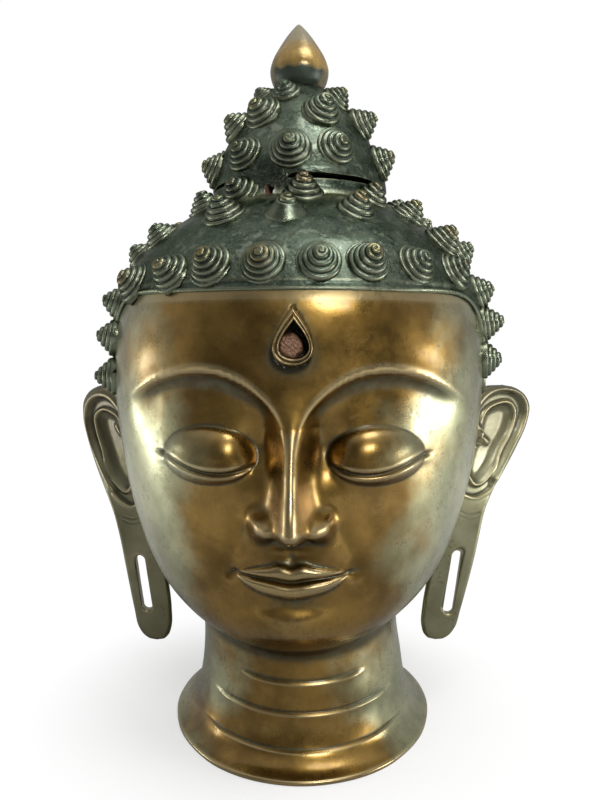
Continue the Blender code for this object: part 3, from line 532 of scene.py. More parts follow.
def carved(share, turn):
    """Skin with face and folds carved in, from the rim up to the hairline."""
    x, y, z = plain_head(share, turn)
    face = face_relief(x, y, z)
    out = fold_relief(x, y, z) + unevenness(x, y, z)
    radius = np.hypot(x, y)
    up = (z - CHIN_HEIGHT) / FACE_UNIT
    droop = 0.22 * np.clip(face - 0.67 * FACE_UNIT, 0.0, None) * smooth_step(5.6, 4.2, up)
    return np.stack((x + out * x / radius, y + out * y / radius - face, z - droop), axis=-1)


def grid_piece(name, points, low_middle, high_middle=None):
    """Smooth mesh over rings of points; a middle point closes its low or high end."""
    rows, columns = points.shape[:2]
    index = np.arange(rows * columns).reshape(rows, columns)
    after = np.roll(index, -1, axis=1)
    quads = np.stack((index[:-1], after[:-1], after[1:], index[1:]), axis=-1).reshape(-1, 4)
    vertices = points.reshape(-1, 3)
    faces = quads.tolist()
    for middle, row in ((low_middle, index[0][::-1]), (high_middle, index[-1])):
        if middle is not None:
            vertices = np.vstack((vertices, middle))
            tip = len(vertices) - 1
            faces += [(a, b, tip) for a, b in zip(row.tolist(), np.roll(row, -1).tolist())]
    return mesh_piece(name, vertices, faces)


def mesh_piece(name, vertices, faces):
    """Smooth mesh object with its faces turned outwards."""
    mesh = bpy.data.meshes.new(name)
    mesh.from_pydata(vertices.tolist(), [], faces)
    shape = bmesh.new()
    shape.from_mesh(mesh)
    bmesh.ops.recalc_face_normals(shape, faces=shape.faces)
    shape.to_mesh(mesh)
    shape.free()
    mesh.shade_smooth()
    piece = bpy.data.objects.new(name, mesh)
    bpy.context.scene.collection.objects.link(piece)
    return piece


def vertices_of(piece):
    """Places of a piece's points."""
    places = np.empty(len(piece.data.vertices) * 3)
    piece.data.vertices.foreach_get("co", places)
    return places.reshape(-1, 3)


def mark(piece, name, values):
    """Store one number for each point of a piece."""
    layer = piece.data.attributes.new(name, "FLOAT", "POINT")
    layer.data.foreach_set("value", np.asarray(values, dtype=np.float32).ravel())


def mark_edges(piece, rounds, size):
    """Store how far each point stands out of its surroundings, in sizes."""
    mesh = piece.data
    points = vertices_of(piece)
    count = len(points)
    normals = np.empty(count * 3, dtype=np.float32)
    mesh.vertex_normals.foreach_get("vector", normals)
    ends = np.empty(len(mesh.edges) * 2, dtype=np.int32)
    mesh.edges.foreach_get("vertices", ends)
    start, end = ends.reshape(-1, 2).T
    degree = np.bincount(start, minlength=count) + np.bincount(end, minlength=count)
    smooth = points
    for _ in range(rounds):
        total = [
            np.bincount(start, smooth[end, i], count) + np.bincount(end, smooth[start, i], count)
            for i in range(3)
        ]
        smooth = 0.5 * smooth + 0.5 * np.stack(total, axis=-1) / np.maximum(degree, 1)[:, None]
    height = ((points - smooth) * normals.reshape(-1, 3)).sum(axis=1) / size
    mark(piece, "edge", np.clip(height, -1.0, 1.0))


def finish_piece(piece, node):
    """Parent a piece to the root body and hide the node of model.glb that it replaces."""
    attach(piece, "root")
    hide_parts(node)


skin_share, skin_turn = skin_grid()
skin_points = carved(skin_share, skin_turn)
rim_row = skin_points[0]
rim_edge = []
for height, inset in RIM_EDGE_SECTION:
    row = rim_row * (1.0, 1.0, 0.0) + (0.0, 0.0, height)
    row[:, :2] *= 1.0 - inset / np.hypot(rim_row[:, 0], rim_row[:, 1])[:, None]
    rim_edge.append(row)
skin_points = np.concatenate((np.array(rim_edge), skin_points))
head_skin = grid_piece("head_skin", skin_points, (NECK_SHIFT, 0.0, 0.0), (0.0, 0.0, HAIRLINE_HEIGHT))


def node(tree, kind, inputs=(), **settings):
    """Add a node, set or link its inputs, and give it back."""
    made = tree.nodes.new(kind)
    for key, value in settings.items():
        setattr(made, key, value)
    for key, value in dict(inputs).items():
        if isinstance(value, bpy.types.NodeSocket):
            tree.links.new(value, made.inputs[key])
        else:
            made.inputs[key].default_value = value
    return made


def blend(tree, factor, low, high):
    """Colour between two colours or colour sockets."""
    return node(tree, "ShaderNodeMix", {0: factor, 6: low, 7: high}, data_type="RGBA").outputs[2]


def spread(tree, value, low, high, start=0.0, end=1.0):
    """Smooth number from start to end while a value goes from low to high."""
    inputs = {"Value": value, "From Min": low, "From Max": high, "To Min": start, "To Max": end}
    return node(tree, "ShaderNodeMapRange", inputs, interpolation_type="SMOOTHSTEP").outputs[0]


def product(tree, *values):
    """Product of numbers or sockets."""
    total = values[0]
    for value in values[1:]:
        total = node(tree, "ShaderNodeMath", {0: total, 1: value}, operation="MULTIPLY").outputs[0]
    return total


def sum_of(tree, *values):
    """Sum of numbers or sockets."""
    total = values[0]
    for value in values[1:]:
        total = node(tree, "ShaderNodeMath", {0: total, 1: value}, operation="ADD").outputs[0]
    return total


def bump(tree, height, strength, distance):
    """Normal of a surface with fine relief."""
    inputs = {"Height": height, "Strength": strength, "Distance": distance}
    return node(tree, "ShaderNodeBump", inputs).outputs[0]


def stored(tree, name):
    """Number stored on the points of a piece."""
    return node(tree, "ShaderNodeAttribute", attribute_name=name).outputs["Fac"]


# Kinds of a group's sockets, by how many numbers their value has
SOCKET_KINDS = {1: "NodeSocketFloat", 3: "NodeSocketVector", 4: "NodeSocketColor"}


def effect(name, inputs, build):
    """Build the node group of a shared effect; gives back the function that places it."""
    group = bpy.data.node_groups.new(name, "ShaderNodeTree")
    for key, value in inputs.items():
        kind = SOCKET_KINDS[np.size(value)]
        group.interface.new_socket(key, in_out="INPUT", socket_type=kind).default_value = value
    results = build(group, node(group, "NodeGroupInput").outputs)
    for key, socket in results.items():
        kind = "NodeSocketColor" if socket.type == "RGBA" else "NodeSocketFloat"
        group.interface.new_socket(key, in_out="OUTPUT", socket_type=kind)
    node(group, "NodeGroupOutput", results)

    def place_effect(tree, *values):
        """Place the effect with values of its own, in the order of its inputs."""
        outputs = node(tree, "ShaderNodeGroup", dict(zip(inputs, values)), node_tree=group).outputs
        return tuple(outputs) if len(outputs) > 1 else outputs[0]

    return place_effect


def cloud_nodes(tree, entry):
    """Soft noise with its scale in patches per metre."""
    mapping = {"Vector": entry["Place"], "Scale": entry["Stretch"]}
    inputs = {"Vector": node(tree, "ShaderNodeMapping", mapping).outputs[0]}
    inputs.update((key, entry[key]) for key in ("Scale", "Detail", "Roughness"))
    return {"Cloud": node(tree, "ShaderNodeTexNoise", inputs).outputs["Fac"]}


CLOUD_INPUTS = {
    "Place": (0.0, 0.0, 0.0),
    "Scale": 30.0,
    "Detail": 3.0,
    "Roughness": 0.55,
    "Stretch": (1.0, 1.0, 1.0),
}
clouds = effect("soft_clouds", CLOUD_INPUTS, cloud_nodes)


def pit_nodes(tree, entry):
    """Small round pits scattered where soft noise lets them stand."""
    place, scale, size = entry["Place"], entry["Scale"], entry["Size"]
    cells = node(tree, "ShaderNodeTexVoronoi", {"Vector": place, "Scale": scale}, feature="F1")
    dot = spread(tree, cells.outputs["Distance"], size, product(tree, size, 0.35))
    least = sum_of(tree, product(tree, entry["Share"], -1.0), 1.0)
    patches = clouds(tree, place, product(tree, scale, 0.11))
    where = spread(tree, patches, least, sum_of(tree, least, 0.06))
    return {"Pits": product(tree, dot, where)}


PIT_INPUTS = {
    "Place": (0.0, 0.0, 0.0),
    "Scale": 700.0,
    "Size": 0.16,
    "Share": 0.42,
}
pits = effect("cast_pits", PIT_INPUTS, pit_nodes)


def speck_nodes(tree, entry):
    """Fine specks that gather in patches."""
    fine = clouds(tree, entry["Place"], entry["Scale"], 3.0, 0.7)
    patches = clouds(tree, entry["Place"], entry["Patch Scale"], entry["Patch Detail"])
    fine = spread(tree, fine, entry["Low"], entry["High"])
    patches = spread(tree, patches, entry["Patch Low"], entry["Patch High"])
    return {"Specks": product(tree, fine, patches, entry["Strength"])}


SPECK_INPUTS = {
    "Place": (0.0, 0.0, 0.0),
    "Scale": 420.0,
    "Low": 0.52,
    "High": 0.66,
    "Patch Scale": 60.0,
    "Patch Detail": 2.0,
    "Patch Low": 0.50,
    "Patch High": 0.62,
    "Strength": 0.45,
}
specks = effect("fine_specks", SPECK_INPUTS, speck_nodes)


def wear_nodes(tree, entry):
    """Edges rubbed light, partly painted highlight on the patina's ridges, and hollows darkened with dirt
    and painted shade.
    """
    rubbed = spread(tree, entry["Edge"], entry["Rubbed From"], 0.70, 0.0, entry["Rubbed Share"])
    color = blend(tree, rubbed, entry["Color"], entry["Rubbed Color"])
    hollow = spread(tree, entry["Edge"], -0.10, entry["Hollow To"], 0.0, entry["Hollow Share"])
    return {"Color": blend(tree, hollow, color, entry["Hollow Color"]), "Hollow": hollow}


WEAR_INPUTS = {
    "Color": (0.5, 0.5, 0.5, 1.0),
    "Edge": 0.0,
    "Rubbed From": 0.12,
    "Rubbed Share": 0.40,
    "Rubbed Color": (0.5, 0.5, 0.5, 1.0),
    "Hollow To": -0.65,
    "Hollow Share": 0.74,
    "Hollow Color": (0.04, 0.04, 0.02, 1.0),
}
wear_and_shade = effect("worn_edges_and_shade", WEAR_INPUTS, wear_nodes)


def crumb_nodes(tree, entry):
    """Coarse crumbs of old fill or of a casting's core, from dark to light."""
    crumbly = spread(tree, clouds(tree, entry["Place"], 900.0, 4.0, 0.7), 0.35, 0.65)
    return {"Color": blend(tree, crumbly, entry["Dark"], entry["Light"])}


CRUMB_INPUTS = {
    "Place": (0.0, 0.0, 0.0),
    "Dark": (0.1, 0.1, 0.1, 1.0),
    "Light": (0.3, 0.3, 0.3, 1.0),
}
crumbs = effect("coarse_crumbs", CRUMB_INPUTS, crumb_nodes)


def principled(name, tree_inputs):
    """Material with a principled shader whose inputs are sockets or values."""
    material = bpy.data.materials.new(name)
    material.use_nodes = True
    tree = material.node_tree
    shader = tree.nodes["Principled BSDF"]
    for key, value in tree_inputs(tree).items():
        if isinstance(value, bpy.types.NodeSocket):
            tree.links.new(value, shader.inputs[key])
        else:
            shader.inputs[key].default_value = value
    return material


# Colours of the copper: dark and light patches of its brown and of its olive, which is partly painted side
# reflection, then what lies on them, painted shade among them
BROWN_COPPER = ((0.138, 0.079, 0.015, 1), (0.275, 0.166, 0.038, 1))
OLIVE_COPPER_AND_SHEEN = ((0.255, 0.262, 0.150, 1), (0.395, 0.395, 0.245, 1))
EAR_SHADE_COLOR = (0.085, 0.068, 0.036, 1)
COPPER_SPECKS = (0.105, 0.070, 0.035, 1)
RUBBED_COPPER = (0.52, 0.44, 0.25, 1)
COPPER_DIRT_AND_SHADE = (0.040, 0.038, 0.022, 1)
GREEN_BLOOM = (0.14, 0.165, 0.11, 1)
HALO_COLOR = (0.150, 0.155, 0.095, 1)
SHADE_COLOR = (0.012, 0.011, 0.007, 1)
FILL_COLORS = ((0.085, 0.036, 0.018, 1), (0.300, 0.155, 0.085, 1))
PIT_COLOR = (0.03, 0.022, 0.015, 1)
# Distance from the middle in which brown turns to olive, partly painted side reflection, how far
# soft noise shifts it, and how much nearer or further it lies on neck, forehead and rim
OLIVE_SHEEN_REACH = (0.041, 0.082)
OLIVE_SHEEN_DRIFT = 0.016
NECK_NEARER = 0.022
FOREHEAD_FURTHER = 0.024
RIM_FURTHER = 0.020
# Heights between which the shift on neck, forehead and rim sets in
NECK_BAND = (CHIN_HEIGHT + 0.020, CHIN_HEIGHT - 0.012)
FOREHEAD_BAND = (HAIRLINE_HEIGHT - 0.062, HAIRLINE_HEIGHT - 0.022)
RIM_BAND = (0.024, 0.011)


def copper_look(tree):
    """Old polished copper: brown in front, olive at the sides with painted side reflection, dirt and
    painted shade in its hollows, painted shade on the ears and round the urna.
    """
    place = node(tree, "ShaderNodeTexCoord").outputs["Object"]
    parts = node(tree, "ShaderNodeSeparateXYZ", {0: place}).outputs
    aside = node(tree, "ShaderNodeMath", {0: parts["X"]}, operation="ABSOLUTE").outputs[0]
    cloudy = clouds(tree, place, 22.0, 5.0)
    drift = spread(tree, cloudy, 0.3, 0.7, -OLIVE_SHEEN_DRIFT, OLIVE_SHEEN_DRIFT)
    neck = spread(tree, parts["Z"], *NECK_BAND, 0.0, NECK_NEARER)
    forehead = spread(tree, parts["Z"], *FOREHEAD_BAND, 0.0, -FOREHEAD_FURTHER)
    rim = spread(tree, parts["Z"], *RIM_BAND, 0.0, -RIM_FURTHER)
    # Brown turns olive and lighter towards the sides: partly patina, partly painted reflection of the
    # bright studio
    olive_and_sheen = spread(tree, sum_of(tree, aside, drift, neck, forehead, rim), *OLIVE_SHEEN_REACH)
    patchy = spread(tree, clouds(tree, place, 34.0, 6.0, 0.6), 0.35, 0.68)
    brown_tone = blend(tree, patchy, *BROWN_COPPER)
    olive_sheen_tone = blend(tree, patchy, *OLIVE_COPPER_AND_SHEEN)
    color = blend(tree, olive_and_sheen, brown_tone, olive_sheen_tone)
    # Painted shade on the ears, stored on their points
    ear_shade = stored(tree, "ear_shade")
    color = blend(tree, ear_shade, color, EAR_SHADE_COLOR)
    mottled = specks(tree, place, 420.0, 0.52, 0.66, 60.0, 2.0, 0.50, 0.62, 0.45)
    color = blend(tree, mottled, color, COPPER_SPECKS)
    edge = stored(tree, "edge")
    # Rubbed edges, and dirt with painted shade in the creases and hollows
    color, hollow = wear_and_shade(tree, color, edge, 0.12, 0.40, RUBBED_COPPER, -0.65, 0.74, COPPER_DIRT_AND_SHADE)
    in_hollows = spread(tree, edge, -0.06, -0.45)
    green = spread(tree, clouds(tree, place, 150.0), 0.42, 0.66)
    color = blend(tree, product(tree, in_hollows, green, 0.22), color, GREEN_BLOOM)
    halo = product(tree, stored(tree, "halo"), spread(tree, cloudy, 0.3, 0.6, 0.3, 0.8))
    color = blend(tree, halo, color, HALO_COLOR)
    # Painted shadow below the urna's rim and painted shade on its socket walls
    shade = stored(tree, "shade")
    color = blend(tree, shade, color, SHADE_COLOR)
    fill = stored(tree, "fill")
    color = blend(tree, fill, color, crumbs(tree, place, *FILL_COLORS))
    dots = pits(tree, place, 700.0, 0.16, 0.42)
    color = blend(tree, product(tree, dots, 0.7), color, PIT_COLOR)
    rough = spread(tree, clouds(tree, place, 90.0, 5.0, 0.65), 0.3, 0.75, 0.25, 0.38)
    for mask, rougher in ((hollow, 0.25), (mottled, 0.30), (fill, 0.5), (shade, 0.4), (ear_shade, 0.12)):
        rough = sum_of(tree, rough, product(tree, mask, rougher))
    height = sum_of(
        tree,
        product(tree, clouds(tree, place, 55.0, 3.0), 0.9),
        product(tree, clouds(tree, place, 330.0, 4.0, 0.6), 0.10),
        product(tree, clouds(tree, place, 1500.0, 3.0, 0.6), olive_and_sheen, 0.16),
        product(tree, dots, -0.30),
        product(tree, fill, clouds(tree, place, 1100.0, 4.0, 0.7), 1.5),
    )
    waxed = sum_of(tree, olive_and_sheen, product(tree, fill, -1.0), product(tree, shade, -1.0))
    return {
        "Base Color": color,
        "Metallic": spread(tree, fill, 0.2, 0.8, 1.0, 0.0),
        "Roughness": rough,
        "Normal": bump(tree, height, 0.24, 0.0008),
        "Coat Weight": spread(tree, waxed, 0.0, 1.0, 0.34, 0.26),
        "Coat Roughness": 0.15,
    }


copper_skin = principled("copper_skin", copper_look)
head_skin.data.materials.append(copper_skin)
mark_edges(head_skin, rounds=14, size=0.0007)
finish_piece(head_skin, "head_casting")


# Urna: raised tear-drop rim on the forehead round a deep socket with old rough fill.
# The rim is cast copper; the setting is gone and reddish fill is left lower left.
URNA_MIDDLE = (0.0006, HAIRLINE_HEIGHT - 0.0215)
URNA_WIDTH = 0.0214
URNA_LENGTH = 0.0284
SOCKET_MIDDLE = (0.0013, HAIRLINE_HEIGHT - 0.0230)
SOCKET_WIDTH = 0.0156
SOCKET_LENGTH = 0.0182
URNA_COLUMNS = 150
# Section of the rim: way from the rim's outline (0) to the socket's (1), and how far out
URNA_SECTION = (
    (-0.55, -0.0022),
    (-0.25, -0.0008),
    (-0.05, 0.0002),
    (0.10, 0.0011),
    (0.22, 0.0017),
    (0.34, 0.0018),
    (0.46, 0.0012),
    (0.56, 0.0009),
    (0.66, 0.0013),
    (0.78, 0.0019),
    (0.90, 0.0017),
    (0.98, 0.0009),
    (1.03, -0.0004),
    (1.07, -0.0024),
    (1.10, -0.0046),
)
SOCKET_RINGS = 22
SOCKET_FLOOR = -0.0062
SOCKET_FLOOR_SHARE = 0.88
FILL_MIDDLE = (SOCKET_MIDDLE[0] - 0.0021, SOCKET_MIDDLE[1] - 0.0034)
FILL_RADIUS = 0.0067
FILL_HEIGHT = 0.0048
FILL_EDGE = (0.72, 1.10)
# Skin behind the rim: how far it is sunk, and within which share of the rim's outline
SKIN_SUNK = 0.0090
SKIN_SUNK_WITHIN = 0.94
FOREHEAD_FRONT = -0.08
# Marks on the skin round the rim, as shares of its outline: the green stain of the halo, and the
# painted black shadow that lies shifted down and to the left of it
HALO_EDGE = (1.02, 1.60)
SHADE_EDGE = (0.98, 1.16)
SHADE_SHIFT = (0.0010, 0.0030)


def tear_drop(angle):
    """Outline of the tear-drop, tip upwards, as shares of half width and length."""
    return 1.25 * np.sin(angle) * np.abs(np.sin(angle / 2)) ** 1.3, np.cos(angle)


def on_head(bearing, height):
    """Point of the plain head at a bearing from the front, in radians, and a height."""
    turn = np.array(bearing, dtype=float)
    for _ in range(6):
        share = share_at(turn, height)
        x, y, z = plain_head(share, turn)
        miss = bearing - np.arctan2(x, -y)
        turn = turn + (miss + math.pi) % (2 * math.pi) - math.pi
    return np.stack((x, y, z), axis=-1)


def standing_out(place, bearing, height):
    """Outward direction of a surface function at a bearing and a height."""
    step, turn = 0.0004, 0.005
    across = place(bearing + turn, height) - place(bearing - turn, height)
    up = place(bearing, height + step) - place(bearing, height - step)
    outward = np.cross(across, up)
    return outward / np.linalg.norm(outward, axis=-1, keepdims=True)


def inside_tear_drop(x, z):
    """Share of the rim's outline on which a point of the forehead lies."""
    angle = np.linspace(0.0, 2 * math.pi, 400)[1:-1]
    across, along = tear_drop(angle)
    across, along = across * URNA_WIDTH / 2, along * URNA_LENGTH / 2
    bearing = np.arctan2(x - URNA_MIDDLE[0], z - URNA_MIDDLE[1]) % (2 * math.pi)
    reach = np.interp(bearing, np.arctan2(across, along) % (2 * math.pi), np.hypot(across, along))
    return np.hypot(x - URNA_MIDDLE[0], z - URNA_MIDDLE[1]) / reach


# The skin is sunk behind the rim, stained green round it and painted with black shadow below it
skin_places = vertices_of(head_skin)
skin_x, skin_y, skin_z = skin_places.T
on_forehead = (skin_y < FOREHEAD_FRONT) & (skin_z > URNA_MIDDLE[1] - URNA_LENGTH)
outline_share = inside_tear_drop(skin_x, skin_z)
below_share = inside_tear_drop(skin_x + SHADE_SHIFT[0], skin_z + SHADE_SHIFT[1])
skin_places[:, 1] += SKIN_SUNK * (on_forehead & (outline_share < SKIN_SUNK_WITHIN))
head_skin.data.vertices.foreach_set("co", skin_places.ravel())
head_skin.data.update()
mark(head_skin, "halo", on_forehead * (1.0 - smooth_step(*HALO_EDGE, outline_share)))
mark(head_skin, "shade", 0.92 * on_forehead * (1.0 - smooth_step(*SHADE_EDGE, below_share)))

way, out = np.array(URNA_SECTION)[:, :1], np.array(URNA_SECTION)[:, 1:]
floor_way = SOCKET_FLOOR_SHARE * np.linspace(1.0, 0.0, SOCKET_RINGS)[1:-1, None]


def urna_rings(part, rim_middle, rim_size, socket_middle, socket_size):
    """One coordinate of the rings from the rim's outline to the middle of the socket."""
    rim = rim_middle + rim_size / 2 * part
    socket = socket_middle + socket_size / 2 * part
    floor = socket_middle + floor_way * (socket - socket_middle)
    return np.concatenate((rim + way * (socket - rim), floor))


across, along = tear_drop(np.linspace(0.0, 2 * math.pi, URNA_COLUMNS, endpoint=False))
urna_x = urna_rings(across, URNA_MIDDLE[0], URNA_WIDTH, SOCKET_MIDDLE[0], SOCKET_WIDTH)
urna_z = urna_rings(along, URNA_MIDDLE[1], URNA_LENGTH, SOCKET_MIDDLE[1], SOCKET_LENGTH)
urna_out = np.concatenate((out, np.full((SOCKET_RINGS - 2, 1), SOCKET_FLOOR))) + 0 * urna_x
in_floor = smooth_step(-0.0030, -0.0058, urna_out)
from_fill = np.hypot(urna_x - FILL_MIDDLE[0], urna_z - FILL_MIDDLE[1])
from_fill = from_fill + 0.0004 * np.sin(900 * urna_x + 500 * urna_z)
fill = in_floor * (1.0 - smooth_step(*FILL_EDGE, from_fill / FILL_RADIUS))
grains = np.sin(2100 * urna_x + 0.4) * np.sin(1700 * urna_z) + np.sin(3100 * urna_z + 2500 * urna_x)
urna_out = urna_out + fill * FILL_HEIGHT + in_floor * 0.00022 * grains
urna_out = urna_out + (1 - in_floor) * 0.00010 * np.sin(900 * urna_x) * np.sin(1100 * urna_z)
urna_points = on_head(np.arctan2(urna_x, FRONT_REACH), urna_z)
urna_points[..., 0] = urna_x
urna_points[..., 1] -= urna_out
urna_middle = urna_points[-1].mean(axis=0)
urna = grid_piece("urna_rim", urna_points, urna_points[0].mean(axis=0) + (0, 0.020, 0), urna_middle)
urna.data.materials.append(copper_skin)
mark_edges(urna, rounds=6, size=0.0004)
mark(urna, "fill", np.concatenate((fill.ravel(), (0.0, 1.0))))
# Painted shade on the socket's walls where the fill does not cover them
socket_wall_shade = smooth_step(0.0, -0.0022, urna_out) * (1.0 - fill)
socket_wall_shade[:2] = 0.0
mark(urna, "shade", np.concatenate((0.97 * socket_wall_shade.ravel(), (0.0, 0.0))))
finish_piece(urna, "head_casting")


# Hair: one smooth raised dome from the hairline up to the plain collar.
# It belongs to the head casting and is kept dark with patina; curls stand on it.
HAIR_STEP = 0.0018
HAIR_END = 0.0040
HAIRLINE_CORNER_START = 45.0
HAIRLINE_CORNER_END = 75.0
HAIRLINE_CORNER_POWER = 2.6
HAIRLINE_TEMPLE = 0.725
HAIRLINE_BEHIND = (
    (80, 0.692),
    (88, 0.680),
    (95, 0.641),
    (100, 0.541),
    (104, 0.418),
    (107, 0.318),
    (112, 0.240),
    (120, 0.201),
    (140, 0.178),
    (180, 0.162),
)
# Turn at the hairline and the turn to which the same column comes at the collar
HAIR_COLUMN_LEAN = (
    (0, 0),
    (40, 46),
    (60, 62),
    (72, 76),
    (75, 92),
    (95, 114),
    (104, 128),
    (112, 146),
    (140, 160),
    (180, 180),
)
HAIR_COLUMNS = 340
HAIR_ROWS = 150
COLLAR_ROWS = 22
# Distances of the first rows from the hairline, in millimetres
HAIR_EDGE_ROWS = (0.0, 0.25, 0.6, 1.0, 1.4, 1.8, 2.2, 2.7, 3.3, 4.0, 4.8, 6.0)
# Section of the hair's edge: distance from the hairline and how far it stands out
HAIR_EDGE_SECTION = (
    (0.0, -0.0012),
    (0.0002, 0.0004),
    (0.0006, 0.0014),
    (0.0012, 0.0020),
    (0.0019, 0.0020),
    (0.0026, 0.0014),
    (0.0033, 0.0013),
    (0.0045, 0.0018),
    (0.0060, 0.0018),
)
HAIR_FRONT_STEP = 0.0012
HAIR_FRONT_TURNS = np.radians((26, 44))
HAIRLINE_SAMPLES = 900
HAIRLINE_SOFTENING = 19
COLLAR_ROUNDING = 0.0006
COLLAR_TOP_RINGS = (0.045, 0.030, 0.015)
CHIP_TURN = -16.5
CHIP_HEIGHT = COLLAR_TOP - 0.0062
CHIP_MIDDLE = math.sin(math.radians(CHIP_TURN)) * COLLAR_RADIUS
CHIP_HALF_WIDTH = 0.0027
# Rings of the chip from outside to its bottom: depth, size, shift
CHIP_RINGS = (
    (-0.0030, 1.30, 0.0),
    (0.0003, 1.16, 0.0),
    (0.0022, 0.95, 0.0003),
    (0.0062, 0.70, 0.0008),
)
CHIP_SHADE_DEPTHS = (0.0022, 0.0042)
# Painted glint beside the chip, and painted sheen on the bend between hair and collar
GLINT_WIDTH = 0.0007
GLINT_LENGTH = 0.0026
GLINT_DROP = 0.0006
BEND_DROP = 0.0014
BEND_REACH = 0.0030
# Outline of the chip: across and up from its middle, in millimetres
CHIP_OUTLINE = (
    (-2.1, 1.9),
    (-1.2, 2.7),
    (0.3, 2.4),
    (1.1, 1.2),
    (2.2, 1.9),
    (2.4, 0.2),
    (1.8, -1.1),
    (1.7, -2.7),
    (0.2, -2.9),
    (-0.9, -2.2),
    (-1.8, -1.4),
    (-2.3, 0.4),
)


def hairline(points):
    """Bearings from the front and heights of the hairline, evenly spaced, one side."""
    quarter = np.linspace(0.0, math.pi / 2, 24)
    power = 2.0 / HAIRLINE_CORNER_POWER
    turns = HAIRLINE_CORNER_START + (HAIRLINE_CORNER_END - HAIRLINE_CORNER_START) * np.sin(quarter) ** power
    temple = place_on_head(HAIRLINE_TEMPLE)
    heights = temple + (HAIRLINE_HEIGHT - temple) * np.abs(np.cos(quarter)) ** power
    behind = np.array(HAIRLINE_BEHIND)
    turns = np.radians(np.concatenate(([0.0], turns, behind[:, 0])))
    heights = np.concatenate(([HAIRLINE_HEIGHT], heights, place_on_head(behind[:, 1])))
    length = running_total(np.hypot(np.diff(turns) * HEAD_WIDTH / 2, np.diff(heights)))
    fine = np.linspace(0.0, length[-1], HAIRLINE_SAMPLES)
    turns, heights = np.interp(fine, length, turns), np.interp(fine, length, heights)
    window = np.hanning(HAIRLINE_SOFTENING) / np.hanning(HAIRLINE_SOFTENING).sum()
    padding = HAIRLINE_SOFTENING // 2
    turns = np.convolve(np.pad(turns, padding, mode="reflect", reflect_type="odd"), window, "valid")
    heights = np.convolve(np.pad(heights, padding, mode="reflect"), window, "valid")
    even, whole = np.linspace(0, HAIRLINE_SAMPLES - 1, points), np.arange(HAIRLINE_SAMPLES)
    return np.interp(even, whole, turns), np.interp(even, whole, heights)


def distance_from_segment(x, y, start, end):
    """Distance of places from a straight line between two ends."""
    run, rise = end[0] - start[0], end[1] - start[1]
    share = ((x - start[0]) * run + (y - start[1]) * rise) / (run ** 2 + rise ** 2 + 1e-15)
    share = np.clip(share, 0.0, 1.0)
    return np.hypot(x - start[0] - share * run, y - start[1] - share * rise)


def from_hairline(bearing, height):
    """Distance of places on the head from the hairline."""
    turns, heights = hairline(240)
    line = np.stack((turns * HEAD_WIDTH / 2, heights), axis=-1)
    at = np.abs(bearing) * HEAD_WIDTH / 2
    nearest = np.full(at.shape, np.inf)
    for start, end in zip(line, line[1:]):
        nearest = np.minimum(nearest, distance_from_segment(at, height, start, end))
    return nearest


def on_hair(bearing, height):
    """Point of the hair's surface away from its edge."""
    point = on_head(bearing, height)
    step = HAIR_STEP * (1.0 - smooth_step(COLLAR_FOOT - HAIR_END, COLLAR_FOOT, point[..., 2]))
    radius = np.hypot(point[..., 0], point[..., 1])
    point[..., :2] *= (1.0 + step / radius)[..., None]
    return point


def ring(radius, bearing, height):
    """Round rows of points at bearings from the front."""
    x, y = radius * np.sin(bearing), -radius * np.cos(bearing)
    return np.stack((x, y, height + 0 * bearing), axis=-1)


def hair_grid():
    """Points of the hair from hairline to collar, and their distance from the edge."""
    turns, heights = hairline(HAIR_COLUMNS // 2 + 1)
    bearing = np.concatenate((-turns[:0:-1], turns[:-1]))
    height = np.concatenate((heights[:0:-1], heights[:-1]))
    lean = np.radians(np.array(HAIR_COLUMN_LEAN, dtype=float))
    top = np.sign(bearing) * np.interp(np.abs(bearing), lean[:, 0], lean[:, 1])
    fine_z = np.linspace(0.09, COLLAR_FOOT, 800)
    side = on_head(np.full(800, math.pi / 2), fine_z)
    reach = np.hypot(side[:, 0], side[:, 1])
    length = running_total(np.hypot(np.diff(fine_z), np.diff(reach)))
    start = np.interp(height, fine_z, length)
    edge = np.array(HAIR_EDGE_ROWS) / 1000
    rest = np.linspace(0.0, 1.0, HAIR_ROWS - len(edge) + 1)[1:, None]
    walk = length[-1] - start
    along = np.concatenate((edge[:, None] + 0 * walk, edge[-1] + rest * (walk - edge[-1])))
    share = along / walk
    turn = bearing + (top - bearing) * share
    level = np.interp(start + along, length, fine_z)
    return turn, level


hair_bearing, hair_level = hair_grid()
edge_distance = from_hairline(hair_bearing, hair_level)
plain = on_head(hair_bearing, hair_level)
outward = standing_out(on_head, hair_bearing, hair_level)
collar_fade = 1.0 - smooth_step(COLLAR_FOOT - HAIR_END, COLLAR_FOOT, hair_level)
bead = np.interp(edge_distance, *np.array(HAIR_EDGE_SECTION).T)
plain_front = 1.0 - smooth_step(*HAIR_FRONT_TURNS, np.abs(hair_bearing))
too_high = np.maximum(bead - HAIR_FRONT_STEP, 0.0) * smooth_step(0.0048, 0.0030, edge_distance)
hair_out = (bead - plain_front * too_high) * collar_fade
waves = 2.2 * unevenness(*np.moveaxis(plain, -1, 0))
hair_out = hair_out + waves * smooth_step(0.002, 0.010, edge_distance)
hair_points = plain + outward * hair_out[..., None]
collar_heights = np.linspace(COLLAR_FOOT, COLLAR_TOP - COLLAR_ROUNDING, COLLAR_ROWS + 1)[1:]
top_bearing = hair_bearing[-1]
collar = on_head(*np.meshgrid(top_bearing, collar_heights))
rounding = []
for angle in np.radians((30, 60, 90)):
    radius = COLLAR_RADIUS - COLLAR_ROUNDING * (1 - math.cos(angle))
    rounding.append(ring(radius, top_bearing, COLLAR_TOP - COLLAR_ROUNDING * (1 - math.sin(angle))))
rounding += [ring(radius, top_bearing, COLLAR_TOP) for radius in COLLAR_TOP_RINGS]
hair_points = np.concatenate((hair_points, collar, np.array(rounding)))
